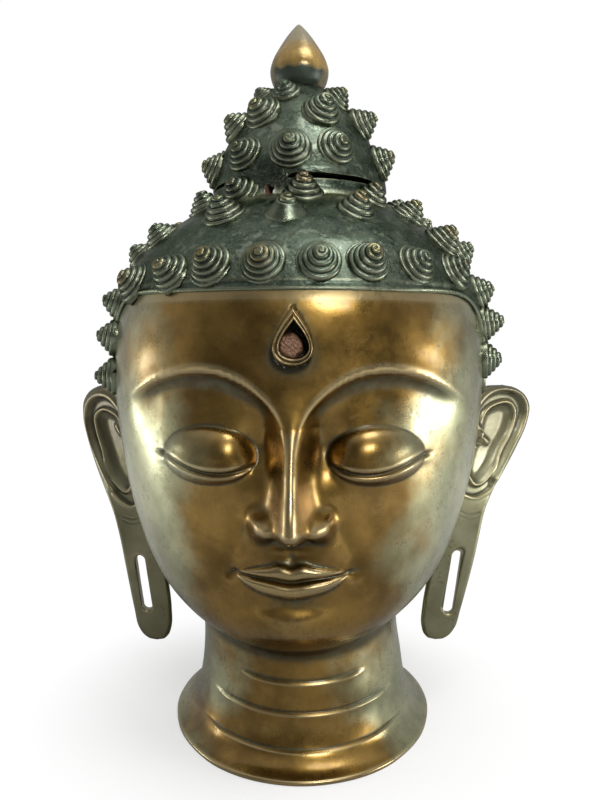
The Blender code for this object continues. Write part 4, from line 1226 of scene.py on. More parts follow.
hair = grid_piece("hair_and_collar", hair_points, (0.0, 0.0, 0.18), (0.0, 0.0, COLLAR_TOP))


def cut(piece, tool):
    """Take a tool's shape away from a piece and work the cut in."""
    boolean = piece.modifiers.new("cut", "BOOLEAN")
    boolean.operation = "DIFFERENCE"
    boolean.solver = "EXACT"
    boolean.material_mode = "TRANSFER"
    boolean.object = tool
    graph = bpy.context.evaluated_depsgraph_get()
    mesh = bpy.data.meshes.new_from_object(piece.evaluated_get(graph))
    piece.modifiers.clear()
    if not any(mesh.materials):
        mesh.materials.clear()
    piece.data = mesh
    bpy.data.objects.remove(tool)


def chip_cutter():
    """Ragged plug that stands in for the piece broken out of the collar."""
    turn = math.radians(CHIP_TURN)
    across = np.array((math.cos(turn), math.sin(turn), 0))
    outward = np.array((math.sin(turn), -math.cos(turn), 0))
    outline = np.array(CHIP_OUTLINE) / 1000
    rings = []
    for depth, size, shift in CHIP_RINGS:
        middle = outward * (COLLAR_RADIUS - depth) + np.array((0, 0, CHIP_HEIGHT + shift)) + across * shift
        rings.append(middle + size * (outline[:, :1] * across + outline[:, 1:] * (0, 0, 1)))
    return grid_piece("cutter", np.array(rings), rings[0].mean(axis=0), rings[-1].mean(axis=0))


# Colours of the patina: its dark and light patches, then what lies on them, painted highlight, sheen, glint
# and shade among them
PATINA_GROUND = ((0.016, 0.027, 0.018, 1), (0.058, 0.082, 0.056, 1))
PATINA_WORN = (0.118, 0.142, 0.102, 1)
PATINA_SPECKS = (0.26, 0.29, 0.22, 1)
PATINA_GRAIN = (0.150, 0.178, 0.130, 1)
PATINA_BARE = (0.230, 0.262, 0.195, 1)
PATINA_SCRATCHED = (0.17, 0.19, 0.14, 1)
PATINA_RUBBED_AND_HIGHLIGHT = (0.225, 0.240, 0.160, 1)
PATINA_DIRT_AND_SHADE = (0.006, 0.009, 0.007, 1)
PATINA_SHEEN = (0.40, 0.43, 0.39, 1)
BRASSY_TIPS = ((0.38, 0.34, 0.12, 1), (0.26, 0.17, 0.07, 1))
BEND_SHEEN_COLOR = (0.34, 0.36, 0.23, 1)
GLINT_COLOR = (0.92, 0.92, 0.88, 1)
CORE_COLORS = ((0.055, 0.026, 0.018, 1), (0.190, 0.090, 0.060, 1))
CHIP_GLINT_COLOR = (0.85, 0.84, 0.78, 1)
CHIP_SHADE_COLOR = (0.002, 0.002, 0.002, 1)


def scratches(tree, place, turn, scale):
    """Thin lines from polishing that run one way."""
    turned = node(tree, "ShaderNodeMapping", {"Vector": place, "Rotation": (0.3, turn, 0.2)}).outputs[0]
    return spread(tree, clouds(tree, turned, scale, 2.0, 0.6, (1.0, 1.0, 0.06)), 0.60, 0.70)


def patina_look(tree):
    """Dark green-grey patina on copper, rubbed lighter where hands have reached, with painted highlight on
    ridges, painted sheen at the collar's foot, a painted glint and painted shade in hollows.
    """
    place = node(tree, "ShaderNodeTexCoord").outputs["Object"]
    soft = clouds(tree, place, 26.0, 6.0, 0.62)
    dark = blend(tree, spread(tree, soft, 0.36, 0.64), *PATINA_GROUND)
    worn = product(tree, spread(tree, clouds(tree, place, 60.0, 8.0, 0.72), 0.42, 0.68), 0.60)
    color = blend(tree, worn, dark, PATINA_WORN)
    flecks = specks(tree, place, 1100.0, 0.58, 0.68, 45.0, 3.0, 0.42, 0.58, 0.75)
    color = blend(tree, flecks, color, PATINA_SPECKS)
    grain = product(tree, spread(tree, clouds(tree, place, 650.0, 6.0, 0.78), 0.46, 0.60), 0.40)
    color = blend(tree, grain, color, PATINA_GRAIN)
    bare = product(tree, spread(tree, clouds(tree, place, 115.0, 8.0, 0.72), 0.55, 0.61), 0.55)
    color = blend(tree, bare, color, PATINA_BARE)
    lines = sum_of(tree, scratches(tree, place, 0.7, 420.0), scratches(tree, place, 2.1, 520.0))
    lines = product(tree, lines, 0.28)
    color = blend(tree, lines, color, PATINA_SCRATCHED)
    edge = stored(tree, "edge")
    # Ridges rubbed lighter, partly a painted highlight, and dirt with painted shade in the grooves
    color, hollow = wear_and_shade(tree, color, edge, 0.15, 0.65, PATINA_RUBBED_AND_HIGHLIGHT, -0.60, 0.9, PATINA_DIRT_AND_SHADE)
    brass = blend(tree, spread(tree, clouds(tree, place, 30.0), 0.4, 0.6), *BRASSY_TIPS)
    on_tip = product(tree, spread(tree, stored(tree, "tip"), 0.60, 0.98), spread(tree, edge, -0.30, 0.25))
    uneven = spread(tree, clouds(tree, place, 240.0, 4.0, 0.7), 0.36, 0.60, 0.15, 0.62)
    rubbed = product(tree, on_tip, uneven)
    color = blend(tree, rubbed, color, brass)
    # Painted sheen on the bend at the collar's foot, and a painted glint beside the chip
    light = stored(tree, "light")
    bend_sheen = product(tree, light, spread(tree, soft, 0.3, 0.6, 0.5, 1.0))
    color = blend(tree, bend_sheen, color, BEND_SHEEN_COLOR)
    color = blend(tree, spread(tree, light, 1.0, 1.5), color, GLINT_COLOR)
    rough = spread(tree, clouds(tree, place, 120.0, 5.0, 0.65), 0.3, 0.75, 0.24, 0.44)
    rough = sum_of(tree, rough, product(tree, hollow, 0.25), product(tree, rubbed, -0.06))
    height = sum_of(
        tree,
        product(tree, clouds(tree, place, 70.0, 4.0), 0.8),
        product(tree, clouds(tree, place, 420.0, 5.0, 0.65), 0.42),
        product(tree, clouds(tree, place, 1400.0, 3.0, 0.6), 0.22),
        product(tree, lines, -0.10),
        product(tree, pits(tree, place, 620.0, 0.18, 0.46), -0.35),
    )
    return {
        "Base Color": color,
        "Metallic": 1.0,
        "Roughness": rough,
        "Normal": bump(tree, height, 0.50, 0.0008),
        "Specular Tint": PATINA_SHEEN,
        "Coat Weight": 0.20,
        "Coat Roughness": 0.18,
    }


def broken_look(tree):
    """Wall of the chip: reddish casting core, painted black shade further in, and a painted glint at one
    side.
    """
    place = node(tree, "ShaderNodeTexCoord").outputs["Object"]
    parts = node(tree, "ShaderNodeSeparateXYZ", {0: place}).outputs
    core = crumbs(tree, place, *CORE_COLORS)
    # Painted glint on the lower right of the chip's wall
    right = spread(tree, parts["X"], CHIP_MIDDLE + 0.0006, CHIP_MIDDLE + 0.0011)
    low = spread(tree, parts["Z"], CHIP_HEIGHT + 0.0006, CHIP_HEIGHT - 0.0002)
    color = blend(tree, product(tree, right, low), core, CHIP_GLINT_COLOR)
    flat = node(tree, "ShaderNodeVectorMath", {0: place, 1: (1.0, 1.0, 0.0)}, operation="MULTIPLY")
    reach = node(tree, "ShaderNodeVectorMath", {0: flat.outputs[0]}, operation="LENGTH").outputs["Value"]
    # Painted shade deeper in the chip
    deep = spread(tree, reach, *(COLLAR_RADIUS - depth for depth in CHIP_SHADE_DEPTHS))
    return {"Base Color": blend(tree, deep, color, CHIP_SHADE_COLOR), "Roughness": 0.75}


dark_patina = principled("dark_patina", patina_look)
hair.data.materials.append(dark_patina)
chip = chip_cutter()
chip.data.materials.append(principled("broken_wall", broken_look))
cut(hair, chip)
mark_edges(hair, rounds=10, size=0.0005)
hair_x, hair_y, hair_z = vertices_of(hair).T
# Painted sheen on the bend between hair and collar, and a painted glint beside the chip
bend_sheen = swell(hair_z - COLLAR_FOOT + BEND_DROP, BEND_REACH)
glint = swell(hair_x - CHIP_MIDDLE - CHIP_HALF_WIDTH, GLINT_WIDTH)
glint = glint * swell(hair_z - CHIP_HEIGHT + GLINT_DROP, GLINT_LENGTH) * (hair_y < 0)
mark(hair, "light", 0.95 * bend_sheen + 1.8 * glint)
finish_piece(hair, "head_casting")


# Curls of the head: snail shells, each one ridge wound four and a half times up a cone.
# They are cast with the hair; the front ones stand where the maker set them by eye.
CURL_RADIUS = 0.0108
CURL_HEIGHT = 0.0104
CURL_SUNK = 0.0026
CURL_TURNS = 4.7
CURL_SIDES = 26
RIDGE_SAMPLES = 6
RIDGE_HEIGHT = 0.0012
CURL_RELIEF = 0.00036
# Ranges within which the curls differ: lean, size, height and wear of the tip
CURL_LEAN = 0.05
CURL_SIZES = (0.95, 1.05)
CURL_HEIGHTS = (0.92, 1.08)
TIP_WEAR = (-0.40, 0.12)
# Side of a curl from its tip to its foot: share of the winding, radius and height
CURL_SIDE = (
    (0.00, 0.00, 1.00),
    (0.08, 0.12, 0.99),
    (0.16, 0.22, 0.92),
    (0.30, 0.37, 0.77),
    (0.50, 0.58, 0.54),
    (0.70, 0.77, 0.31),
    (0.86, 0.92, 0.12),
    (0.95, 1.03, 0.03),
    (1.00, 1.07, -0.04),
)
# Turn in degrees and height in millimetres of the curls seen from the front
FRONT_CURLS = (
    (-55.4, 261.7),
    (-35.9, 264.7),
    (-22.5, 267.5),
    (-7.7, 268.1),
    (7.0, 268.5),
    (20.4, 268.6),
    (36.6, 269.0),
    (55.3, 267.6),
    (-73.0, 252.4),
    (-73.5, 232.8),
    (-74.0, 210.1),
    (77.0, 258.2),
    (77.0, 240.8),
    (76.5, 220.0),
    (-29.7, 296.2),
    (26.0, 298.5),
    (70.0, 301.3),
    (-65.0, 289.0),
    (63.0, 284.5),
    (-66.0, 307.7),
    (-36.4, 312.3),
    (4.0, 309.4),
    (48.9, 309.7),
)
PLAIN_CONE = (-2.9, 295.8)
TOPMOST_SIZE = 0.80
TOPMOST_HEIGHT = 366.0
# Rows of curls behind, the same on both sides: share on the head, first turn, number, step
ROWS_BEHIND = (
    (1.457, 82.0, 5, 21.5),
    (0.965, 102.0, 4, 26.0),
    (0.770, 114.0, 3, 26.0),
    (0.558, 122.0, 3, 22.0),
    (0.335, 128.0, 2, 34.0),
    (1.751, 100.0, 3, 32.0),
    (1.947, 94.0, 3, 34.0),
)


def curl_shape(scale, height, turns, plain_foot=0.0):
    """Vertices and faces of one curl that stands on z = 0."""
    count = int(round(turns * RIDGE_SAMPLES))
    level = np.arange(-RIDGE_SAMPLES, count + 1)[:, None] / RIDGE_SAMPLES
    column = np.arange(CURL_SIDES)[None, :]
    winding = np.clip(level + column / CURL_SIDES, 0.0, turns)
    angle = 2 * math.pi * column / CURL_SIDES
    share = winding / turns
    side_share, side_radius, side_rise = np.array(CURL_SIDE).T
    radius = np.interp(share, side_share, side_radius) * CURL_RADIUS * scale
    rise = np.interp(share, side_share, side_rise) * CURL_HEIGHT * height
    ridge = 1.0 - np.abs(2.0 * (level % 1.0) - 1.0) ** 2.2
    size = RIDGE_HEIGHT * scale * smooth_step(0.0, 0.12, share) * (1.0 - smooth_step(0.97, 1.0, share))
    size = size * (1.0 - plain_foot * smooth_step(0.35, 0.45, share))
    out = size * (ridge - 0.35)
    radius = radius + out * 0.70
    rise = rise + out * 0.72
    rise = np.where(share >= 1.0, -CURL_SUNK, rise)
    points = np.stack((radius * np.cos(angle), radius * np.sin(angle), rise), axis=-1)
    index = np.arange(points.shape[0] * CURL_SIDES).reshape(-1, CURL_SIDES)
    faces = []
    # The last column meets the first one a whole turn further along the winding
    for low in range(len(index) - 1):
        for column in range(CURL_SIDES):
            further, after = (RIDGE_SAMPLES, 0) if column == CURL_SIDES - 1 else (0, column + 1)
            if low + 1 + further < len(index):
                beside = index[low + further:low + further + 2, after]
                faces.append((index[low, column], *beside, index[low + 1, column]))
    shape = bmesh.new()
    made = [shape.verts.new(tuple(point)) for point in points.reshape(-1, 3)]
    for face in faces:
        shape.faces.new([made[i] for i in face])
    bmesh.ops.remove_doubles(shape, verts=shape.verts, dist=0.00002)
    bmesh.ops.recalc_face_normals(shape, faces=shape.faces)
    shape.verts.index_update()
    vertices = np.array([vertex.co[:] for vertex in shape.verts])
    faces = [[vertex.index for vertex in face.verts] for face in shape.faces]
    shape.free()
    return vertices, faces


def curl_cluster(name, places, surface, seed, cone=None):
    """Curls standing on a surface at bearings and heights, as one mesh."""
    chance = np.random.default_rng(seed)
    kinds = [
        curl_shape(1.0, 1.0, CURL_TURNS),
        curl_shape(1.03, 1.12, CURL_TURNS + 0.5),
        curl_shape(0.98, 0.90, CURL_TURNS - 0.4),
        curl_shape(1.02, 1.02, CURL_TURNS, plain_foot=1.0),
    ]
    vertices, faces, tips = [], [], []
    total = 0
    for turn, height in places:
        is_cone = cone is not None and (turn, height) == cone
        shape, shape_faces = kinds[3 if is_cone else chance.integers(0, 3)]
        bearing, level = np.array(math.radians(turn)), np.array(height / 1000.0)
        base = surface(bearing, level)
        outward = Vector(standing_out(surface, bearing, level))
        lean = chance.normal(0.0, CURL_LEAN, 2)
        axis = (outward + Vector((lean[0], 0.0, lean[1]))).normalized()
        matrix = np.array(axis.to_track_quat("Z", "Y").to_matrix())
        spin = chance.uniform(0.0, 2 * math.pi)
        sine, cosine = math.sin(spin), math.cos(spin)
        turned = np.array(((cosine, -sine, 0), (sine, cosine, 0), (0, 0, 1)))
        size = chance.uniform(*CURL_SIZES, 3) * (1.0, 1.0, chance.uniform(*CURL_HEIGHTS))
        size = size * (TOPMOST_SIZE if height > TOPMOST_HEIGHT else 1.0)
        vertices.append(((shape * size) @ turned.T) @ matrix.T + base)
        tips.append(np.clip(shape[:, 2] / CURL_HEIGHT, -0.2, 1.2) + chance.uniform(*TIP_WEAR))
        faces += [[i + total for i in face] for face in shape_faces]
        total += len(shape)
    piece = mesh_piece(name, np.vstack(vertices), faces)
    mark(piece, "tip", np.concatenate(tips))
    piece.data.materials.append(dark_patina)
    mark_edges(piece, rounds=3, size=CURL_RELIEF)
    return piece


head_places = [*FRONT_CURLS, PLAIN_CONE]
for share, first, number, step in ROWS_BEHIND:
    height = 1000 * float(place_on_head(share))
    for turn in (first + i * step for i in range(number)):
        head_places.append((turn, height))
        if turn < 179:
            head_places.append((-turn, height))
head_curls = curl_cluster("head_curls", head_places, on_hair, 11, PLAIN_CONE)
finish_piece(head_curls, "head_casting")


# Ears: long cast ears with a rolled helix, a deep bowl and a slotted lobe.
# They are one with the head; left and right were modelled by hand and differ.
EAR_THICKNESS = 0.0062
EAR_FLARE = math.radians(36.0)
EAR_FLARE_START = -0.015
EAR_FLARE_END = 0.095
EAR_ROOT_OUT = -0.0132
EAR_ROOT_Y = -0.002
EAR_PIVOT_OUT = -0.0098
EAR_PIVOT_UP = 0.050
EAR_WAIST_UP = 0.063
EAR_WAIST_REACH = 0.026
EAR_ROUNDING = 0.0026
SLOT_OUT = -0.0108
SLOT_WIDTH = 0.0066
SLOT_LEAN = math.radians(8.0)
SLOT_ROUNDING = 0.0012
SLOT_EDGE_DROP = 0.0011
EAR_COLUMNS_FRONT = 76
EAR_COLUMNS_BACK = 30
# Rows of an ear: place up from the chin and how closely they stand there
EAR_ROW_STEPS = (
    (0.0000, 0.00012),
    (0.0020, 0.0005),
    (0.0120, 0.0010),
    (0.0680, 0.0009),
    (0.0740, 0.00045),
    (0.0850, 0.00045),
    (0.0900, 0.0007),
    (0.1560, 0.0007),
    (0.1615, 0.0003),
    (0.1626, 0.00008),
)
EAR_ROWS = 236
# Outline, bottom of the lobe to the top: up, outer edge, inner edge
EAR_OUTLINE = (
    (-0.0355, -0.0186, -0.0186),
    (-0.0345, -0.0135, -0.0235),
    (-0.0320, -0.0100, -0.0260),
    (-0.0270, -0.0068, -0.0278),
    (-0.0150, -0.0041, -0.0281),
    (0.0000, -0.0012, -0.0268),
    (0.0150, 0.0018, -0.0248),
    (0.0300, 0.0052, -0.0238),
    (0.0450, 0.0100, -0.0228),
    (0.0600, 0.0177, -0.0208),
    (0.0750, 0.0260, -0.0178),
    (0.0900, 0.0322, -0.0148),
    (0.1050, 0.0362, -0.0118),
    (0.1150, 0.0362, -0.0108),
    (0.1215, 0.0318, -0.0078),
    (0.1255, 0.0245, 0.0002),
    (0.1271, 0.0150, 0.0150),
)
# Lines of the carving in millimetres, out from the head's side and up from the chin:
# crest of the helix, ridge round the bowl, edge of the groove below, root in the bowl
LEFT_EAR_LINES = {
    "helix": (
        (-8, 96), (-1, 103), (5, 112), (13, 119), (22, 120),
        (30, 115), (33, 105), (30, 91), (22, 77), (12, 62),
    ),
    "ridge": (
        (-4, 77), (2, 95), (7, 106), (13, 109.5), (20, 110.5), (26, 106),
        (24.5, 95), (20, 84), (16, 74), (10, 65), (1, 59), (-5, 65),
    ),
    "groove": ((-13, 70), (-12, 62), (-9, 54), (-4, 50.5), (3, 52.5), (9, 57)),
    "root": ((-6, 88), (1, 93.5), (8, 96), (11, 100)),
    "engraved": ((-11.5, 45), (-4.6, 43), (1.7, 44.2)),
}
RIGHT_EAR_LINES = {
    "helix": (
        (0, 96), (-5, 103), (-5, 112), (2, 121), (13, 125),
        (26, 122), (32.5, 113), (30.5, 100), (22, 84), (13, 68),
    ),
    "ridge": (
        (-6, 80), (-1, 98), (2.5, 110), (10, 115), (20, 116), (25, 111),
        (23, 97), (17, 86), (12, 74), (5, 65.5), (-1, 64), (-7, 71),
    ),
    "groove": ((-14, 72), (-13.5, 64), (-9, 58.5), (-1, 56), (5, 57.5), (11, 61)),
    "root": ((-6, 88), (-1, 92), (4, 93), (8, 90)),
    "engraved": ((-12.3, 48.3), (-5.2, 45.8), (2.1, 47.2)),
}
# Ridges and grooves along these lines: how far out, how far beside them, and reach
HELIX_ROLL = (0.0013, 0.0, 0.0026)
BOWL_RIDGE = (0.0019, 0.0, 0.0013)
BOWL_ROOT = (0.0022, 0.0, 0.0018)
GROOVE_EDGE = (0.0005, 0.0, 0.0011)
ENGRAVING = (-0.00028, 0.0, 0.00036)
BOWL_DEPTH = 0.0026
BOWL_WALL = 0.0070
# Up from the chin, the groove is narrow below and wide above this band
GROOVE_BAND = (0.056, 0.074)
GROOVE_WIDE = 0.0040
GROOVE_NARROWER = 0.0024
ENGRAVED_GAP = 0.0030
# How much painted shade darkens the copper of each ear, and how much darker it grows up from a band of
# heights
EAR_SHADE = {"left_ear": 0.66, "right_ear": 0.48}
EAR_TOP_DARKER = 0.24
EAR_TOP_BAND = (0.145, 0.175)
# Side, outward tilt in degrees, lift, waist, slot top and slot length, and the lines
EARS = (
    ("left_ear", -1, 0.0, 0.0, 0.0, 0.0200, 0.0360, LEFT_EAR_LINES),
    ("right_ear", 1, 3.6, 0.002, 0.0055, 0.0250, 0.0410, RIGHT_EAR_LINES),
)


def flowing(points, count, closed=False):
    """Even points on a smooth curve through a few points given in millimetres."""
    points = np.array(points, dtype=float) / 1000.0
    if closed:
        points = np.vstack((points[-2:], points, points[:3]))
    knots = running_total(np.hypot(*np.diff(points, axis=0).T) ** 0.5)
    start, end = (knots[2], knots[-3]) if closed else (knots[0], knots[-1])
    return curve_through(knots, points, np.linspace(start, end, count))


def distance_to(line, across, up, closed=False):
    """Distance from a line, and whether a place lies inside the loop it makes."""
    ends = np.roll(line, -1, axis=0)
    nearest = np.full(across.shape, np.inf)
    inside = np.zeros(across.shape, dtype=bool)
    for i, ((ax, ay), (bx, by)) in enumerate(zip(line, ends)):
        if (ay > up.min() or by > up.min()) and abs(by - ay) > 1e-12:
            crosses = ((ay > up) != (by > up)) & (across < (bx - ax) * (up - ay) / (by - ay) + ax)
            inside ^= crosses
        if i < len(line) - 1 or closed:
            nearest = np.minimum(nearest, distance_from_segment(across, up, (ax, ay), (bx, by)))
    return nearest, inside


def ear_carving(across, up, lines):
    """How far the carving stands out of an ear's flat front."""
    helix = flowing(lines["helix"], 40)
    groove = flowing(lines["groove"], 24)
    ridge = flowing(lines["ridge"], 50)
    root = flowing(lines["root"], 12)
    from_edge, in_hollow = distance_to(np.vstack((helix, groove[::-1])), across, up, closed=True)
    from_ridge, in_bowl = distance_to(ridge, across, up, closed=True)
    open_lines = (ridge, helix, groove, root)
    from_ridge_line, from_helix, from_groove, from_root = (
        distance_to(line, across, up)[0] for line in open_lines
    )
    low = 1.0 - smooth_step(*GROOVE_BAND, up)
    width = GROOVE_WIDE - GROOVE_NARROWER * low
    carving = -BOWL_DEPTH * smooth_step(0.0, 1.0, from_edge / width) * in_hollow
    carving -= BOWL_DEPTH * smooth_step(0.0, BOWL_WALL, from_ridge) * (in_bowl & in_hollow)
    carving += line_form(BOWL_RIDGE, from_ridge_line) * in_hollow
    carving += line_form(HELIX_ROLL, from_helix) + line_form(GROOVE_EDGE, from_groove) * low
    carving += line_form(BOWL_ROOT, from_root) * in_hollow
    first = flowing(lines["engraved"], 14)
    for shift in (0.0, -ENGRAVED_GAP):
        carving += line_form(ENGRAVING, distance_to(first + (0.0, shift), across, up)[0])
    return carving


def ear_edge(outline, column, up):
    """Edge of the ear, read along the outline's arc because its ends are round."""
    line = outline[:, (0, column)]
    knots = running_total(np.hypot(*np.diff(line, axis=0).T))
    curve = curve_through(knots, line, np.linspace(0.0, knots[-1], 900))
    return np.interp(up, curve[:, 0], curve[:, 1])


def ear_piece(name, side, tilt, lift, waist, slot_top, slot_length, lines):
    """Long ear with a slotted lobe; side is 1 on +X and -1 on -X."""
    slot_middle = slot_top - slot_length / 2
    outline = np.array(EAR_OUTLINE)
    span = outline[-1, 0] - outline[0, 0]
    up = outline[0, 0] + spread_out(EAR_ROW_STEPS, EAR_ROWS, span)
    outer, inner = ear_edge(outline, 1, up), ear_edge(outline, 2, up)
    outer = outer - waist * swell(up - EAR_WAIST_UP, EAR_WAIST_REACH)
    rim = np.concatenate((np.stack((outer, up), axis=-1), np.stack((inner, up), axis=-1)[::-1]))
    up = up[:, None]
    rings = []
    for columns, front in ((EAR_COLUMNS_FRONT, True), (EAR_COLUMNS_BACK, False)):
        share = np.linspace(-1.0, 1.0, columns)[None, :]
        share = np.sin(share * math.pi / 2) * 0.75 + share * 0.25
        share = share if front else -share
        across = (outer + inner)[:, None] / 2 + share * (outer - inner)[:, None] / 2
        height = up + 0 * across
        from_rim, _ = distance_to(rim[::3], across, height, closed=True)
        round_edge = np.clip(from_rim / EAR_ROUNDING, 0.0, 1.0)
        round_edge = np.sqrt(1.0 - (1.0 - round_edge) ** 2)
        carving = ear_carving(across, height, lines)
        above_middle = height - slot_middle
        slot_x = SLOT_OUT + above_middle * math.tan(SLOT_LEAN)
        along = np.abs(above_middle) - (slot_length - SLOT_WIDTH) / 2
        from_slot = np.hypot(across - slot_x, np.maximum(along, 0.0)) - SLOT_WIDTH / 2
        slot_round = np.clip((from_slot + 0.0002) / SLOT_ROUNDING, 0.0, 1.0)
        carving = carving - SLOT_EDGE_DROP * (1.0 - np.sqrt(1.0 - (1.0 - slot_round) ** 2))
        if front:
            offset = round_edge * (EAR_THICKNESS / 2 + carving)
        else:
            offset = round_edge * (0.75 * np.minimum(carving, 0.0) - EAR_THICKNESS / 2)
        flare = EAR_FLARE * smooth_step(EAR_FLARE_START, EAR_FLARE_END, height)
        flat_y = EAR_ROOT_Y + (across - EAR_ROOT_OUT) * np.tan(flare)
        x, y = across + offset * np.sin(flare), flat_y - offset * np.cos(flare)
        points = np.stack((x, y, height), axis=-1)
        rings.append(points if front else points[:, 1:-1])
    points = np.concatenate(rings, axis=1)
    turn = math.radians(tilt)
    out, rise = points[..., 0] - EAR_PIVOT_OUT, points[..., 2] - EAR_PIVOT_UP
    away = EAR_PIVOT_OUT + out * math.cos(turn) + rise * math.sin(turn)
    rise = EAR_PIVOT_UP + rise * math.cos(turn) - out * math.sin(turn) + lift
    points = np.stack((side * (HEAD_WIDTH / 2 + away), points[..., 1], CHIN_HEIGHT + rise), axis=-1)
    piece = grid_piece(name, points, points[0].mean(axis=0), points[-1].mean(axis=0))
    x = side * (HEAD_WIDTH / 2 + SLOT_OUT - (EAR_PIVOT_UP - slot_middle) * math.sin(turn))
    cut(piece, slot_cutter(side, (x, EAR_ROOT_Y, CHIN_HEIGHT + slot_middle), slot_length))
    return piece


def slot_cutter(side, middle, length):
    """Rounded bar that cuts the slot through an ear lobe."""
    angle = np.linspace(0.0, 2 * math.pi, 36, endpoint=False)
    x = SLOT_WIDTH / 2 * np.sin(angle)
    z = SLOT_WIDTH / 2 * np.cos(angle) + np.sign(np.cos(angle) + 1e-9) * (length - SLOT_WIDTH) / 2
    lean = side * SLOT_LEAN
    x, z = x * math.cos(lean) + z * math.sin(lean), z * math.cos(lean) - x * math.sin(lean)
    x, z = middle[0] + x, middle[2] + z
    rings = np.array([np.stack((x, middle[1] + y + 0 * x, z), axis=-1) for y in (-0.03, 0.03)])
    return grid_piece("cutter", rings, rings[0].mean(axis=0), rings[1].mean(axis=0))


for values in EARS:
    ear = ear_piece(*values)
    ear.data.materials.append(copper_skin)
    mark_edges(ear, rounds=10, size=0.0006)
    # Painted shade on each ear, more on the left one, and darker towards the top
    duller = EAR_TOP_DARKER * smooth_step(*EAR_TOP_BAND, vertices_of(ear)[:, 2])
    mark(ear, "ear_shade", EAR_SHADE[ear.name] + duller)
    finish_piece(ear, "head_casting")


# Cap of the top-knot: a second casting that sits on the collar, dark like the hair.
# Its foot stands open in front and was once closed with solder at the front left.
CAP_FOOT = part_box("topknot_cap")[0].z
CAP_TOP = CAP_FOOT + 0.0620
CAP_RADIUS = COLLAR_RADIUS + 0.0010
JEWEL_FOOT_RADIUS = 0.0138
CAP_COLUMN_STEPS = ((0, 0.42), (72, 0.5), (80, 1.6), (180, 2.2))
CAP_HALF_COLUMNS = 208
# Rows of the cap: share of its height and how closely they stand
CAP_ROW_STEPS = ((0, 0.5), (0.12, 0.5), (0.16, 1.0), (0.9, 1.0), (1.0, 0.4))
CAP_ROWS = 96
# Rings of the cap's underside: how far in from its edge
CAP_FOOT_INSETS = (0.0300, 0.0200, 0.0100, 0.0040, 0.0012, 0.0005)
CAP_EDGE_ROUNDING = 0.0003
# Turns between which the old solder and the thick lip beside it lie
SOLDER_SPAN = (-48, -43, -9, -4.5)
LIP_SPAN = (-4, 2, 17, 28)
# Cracks in the solder: turn in degrees and height above the foot, in millimetres,
# of their two ends, then depth, half width and the raised burr beside them
CRACKS = (
    ((-21, 1.0), (-29.4, -1.6)),
    ((-7.5, 4.6), (-6.5, 1.0)),
    ((-6.5, 1.0), (-12.0, -1.9)),
    ((-41, 9.5), (-33, 3.2)),
)
CRACK_DEPTH = 0.0004
CRACK_WIDTH = 0.26
BURR_OUT = 0.0002
BURR_WIDTH = 0.35
# One degree of turn on the cap's foot, in millimetres
DEGREE_AT_FOOT = 0.9
# How far the foot's edge is lifted: turn in degrees and lift
FOOT_LIFT = (
    (-180, 0.0000),
    (-71, 0.0000),
    (-67, 0.0008),
    (-52, 0.0010),
    (-46, 0.0003),
    (-44, -0.0024),
    (-38, -0.0034),
    (-30, -0.0030),
    (-24, -0.0036),
    (-14, -0.0031),
    (-8, -0.0026),
    (-5.5, -0.0004),
    (-4.0, 0.0010),
    (-1, 0.0018),
    (10, 0.0022),
    (40, 0.0019),
    (58, 0.0013),
    (66, 0.0000),
    (180, 0.0000),
)
CAP_CURLS = (
    (-78.5, 332.3),
    (-37.6, 335.0),
    (-3.9, 335.5),
    (27.3, 337.4),
    (77.5, 335.8),
    (-70.5, 356.2),
    (-34.8, 359.6),
    (22.2, 359.4),
    (74.3, 357.2),
    (-17.3, 373.0),
    (60.0, 371.6),
)
# Curls behind: share of the cap's height, then their turns
CAP_CURLS_BEHIND = (
    (0.258, (108, 140, 176, 212, 246)),
    (0.689, (118, 168, 214)),
    (0.913, (127, 199, 271)),
)


def cap_radius(share):
    """Radius of the cap at a share of its height."""
    bulge = np.clip(1.0 - np.clip(share, 0.0, 1.0) ** 1.55, 0.0, 1.0) ** 0.82
    return JEWEL_FOOT_RADIUS + (CAP_RADIUS - JEWEL_FOOT_RADIUS) * bulge


def on_cap(bearing, height):
    """Point of the cap at a bearing and a height."""
    radius = cap_radius((height - CAP_FOOT) / (CAP_TOP - CAP_FOOT))
    return ring(radius, bearing, height)


half = spread_out(CAP_COLUMN_STEPS, CAP_HALF_COLUMNS, 180.0)
bearing = np.radians(np.concatenate((-half[:0:-1], half[:-1])))[None, :]
share = spread_out(CAP_ROW_STEPS, CAP_ROWS, 1.0)[:, None]
height = CAP_FOOT + share * (CAP_TOP - CAP_FOOT) + 0 * bearing
lift = np.interp(np.degrees(bearing), *np.array(FOOT_LIFT).T)
lifted = height + lift * (1.0 - smooth_step(0.0, 0.012, height - CAP_FOOT))
cap_base = on_cap(bearing + 0 * height, height)
cap_base[..., 2] = lifted
cap_outward = standing_out(on_cap, bearing + 0 * height, np.maximum(height, CAP_FOOT + 0.0005))
u, v = np.degrees(bearing), 1000 * (lifted - CAP_FOOT)
patch = span_of(u, *SOLDER_SPAN)
coarse = np.sin(0.23 * u + 0.9 * v) * np.sin(0.31 * u - 0.7 * v) + 0.5 * np.sin(0.71 * u + 1.3 * v)
fine = np.sin(1.9 * u + 2.1 * v) * np.sin(2.7 * u - 2.3 * v)
lip = span_of(u, *LIP_SPAN) * swell(v - 3.0, 2.2)
cap_out = 3.0 * unevenness(*np.moveaxis(cap_base, -1, 0))
cap_out = cap_out + patch * (0.00012 * coarse + 0.00005 * fine) * (1.0 - smooth_step(3.0, 7.0, v))
cap_out = cap_out - patch * 0.0007 * (1.0 - smooth_step(-3.2, 1.8, v))
cap_out = cap_out + lip * (0.0008 + 0.00025 * coarse + 0.00006 * fine)
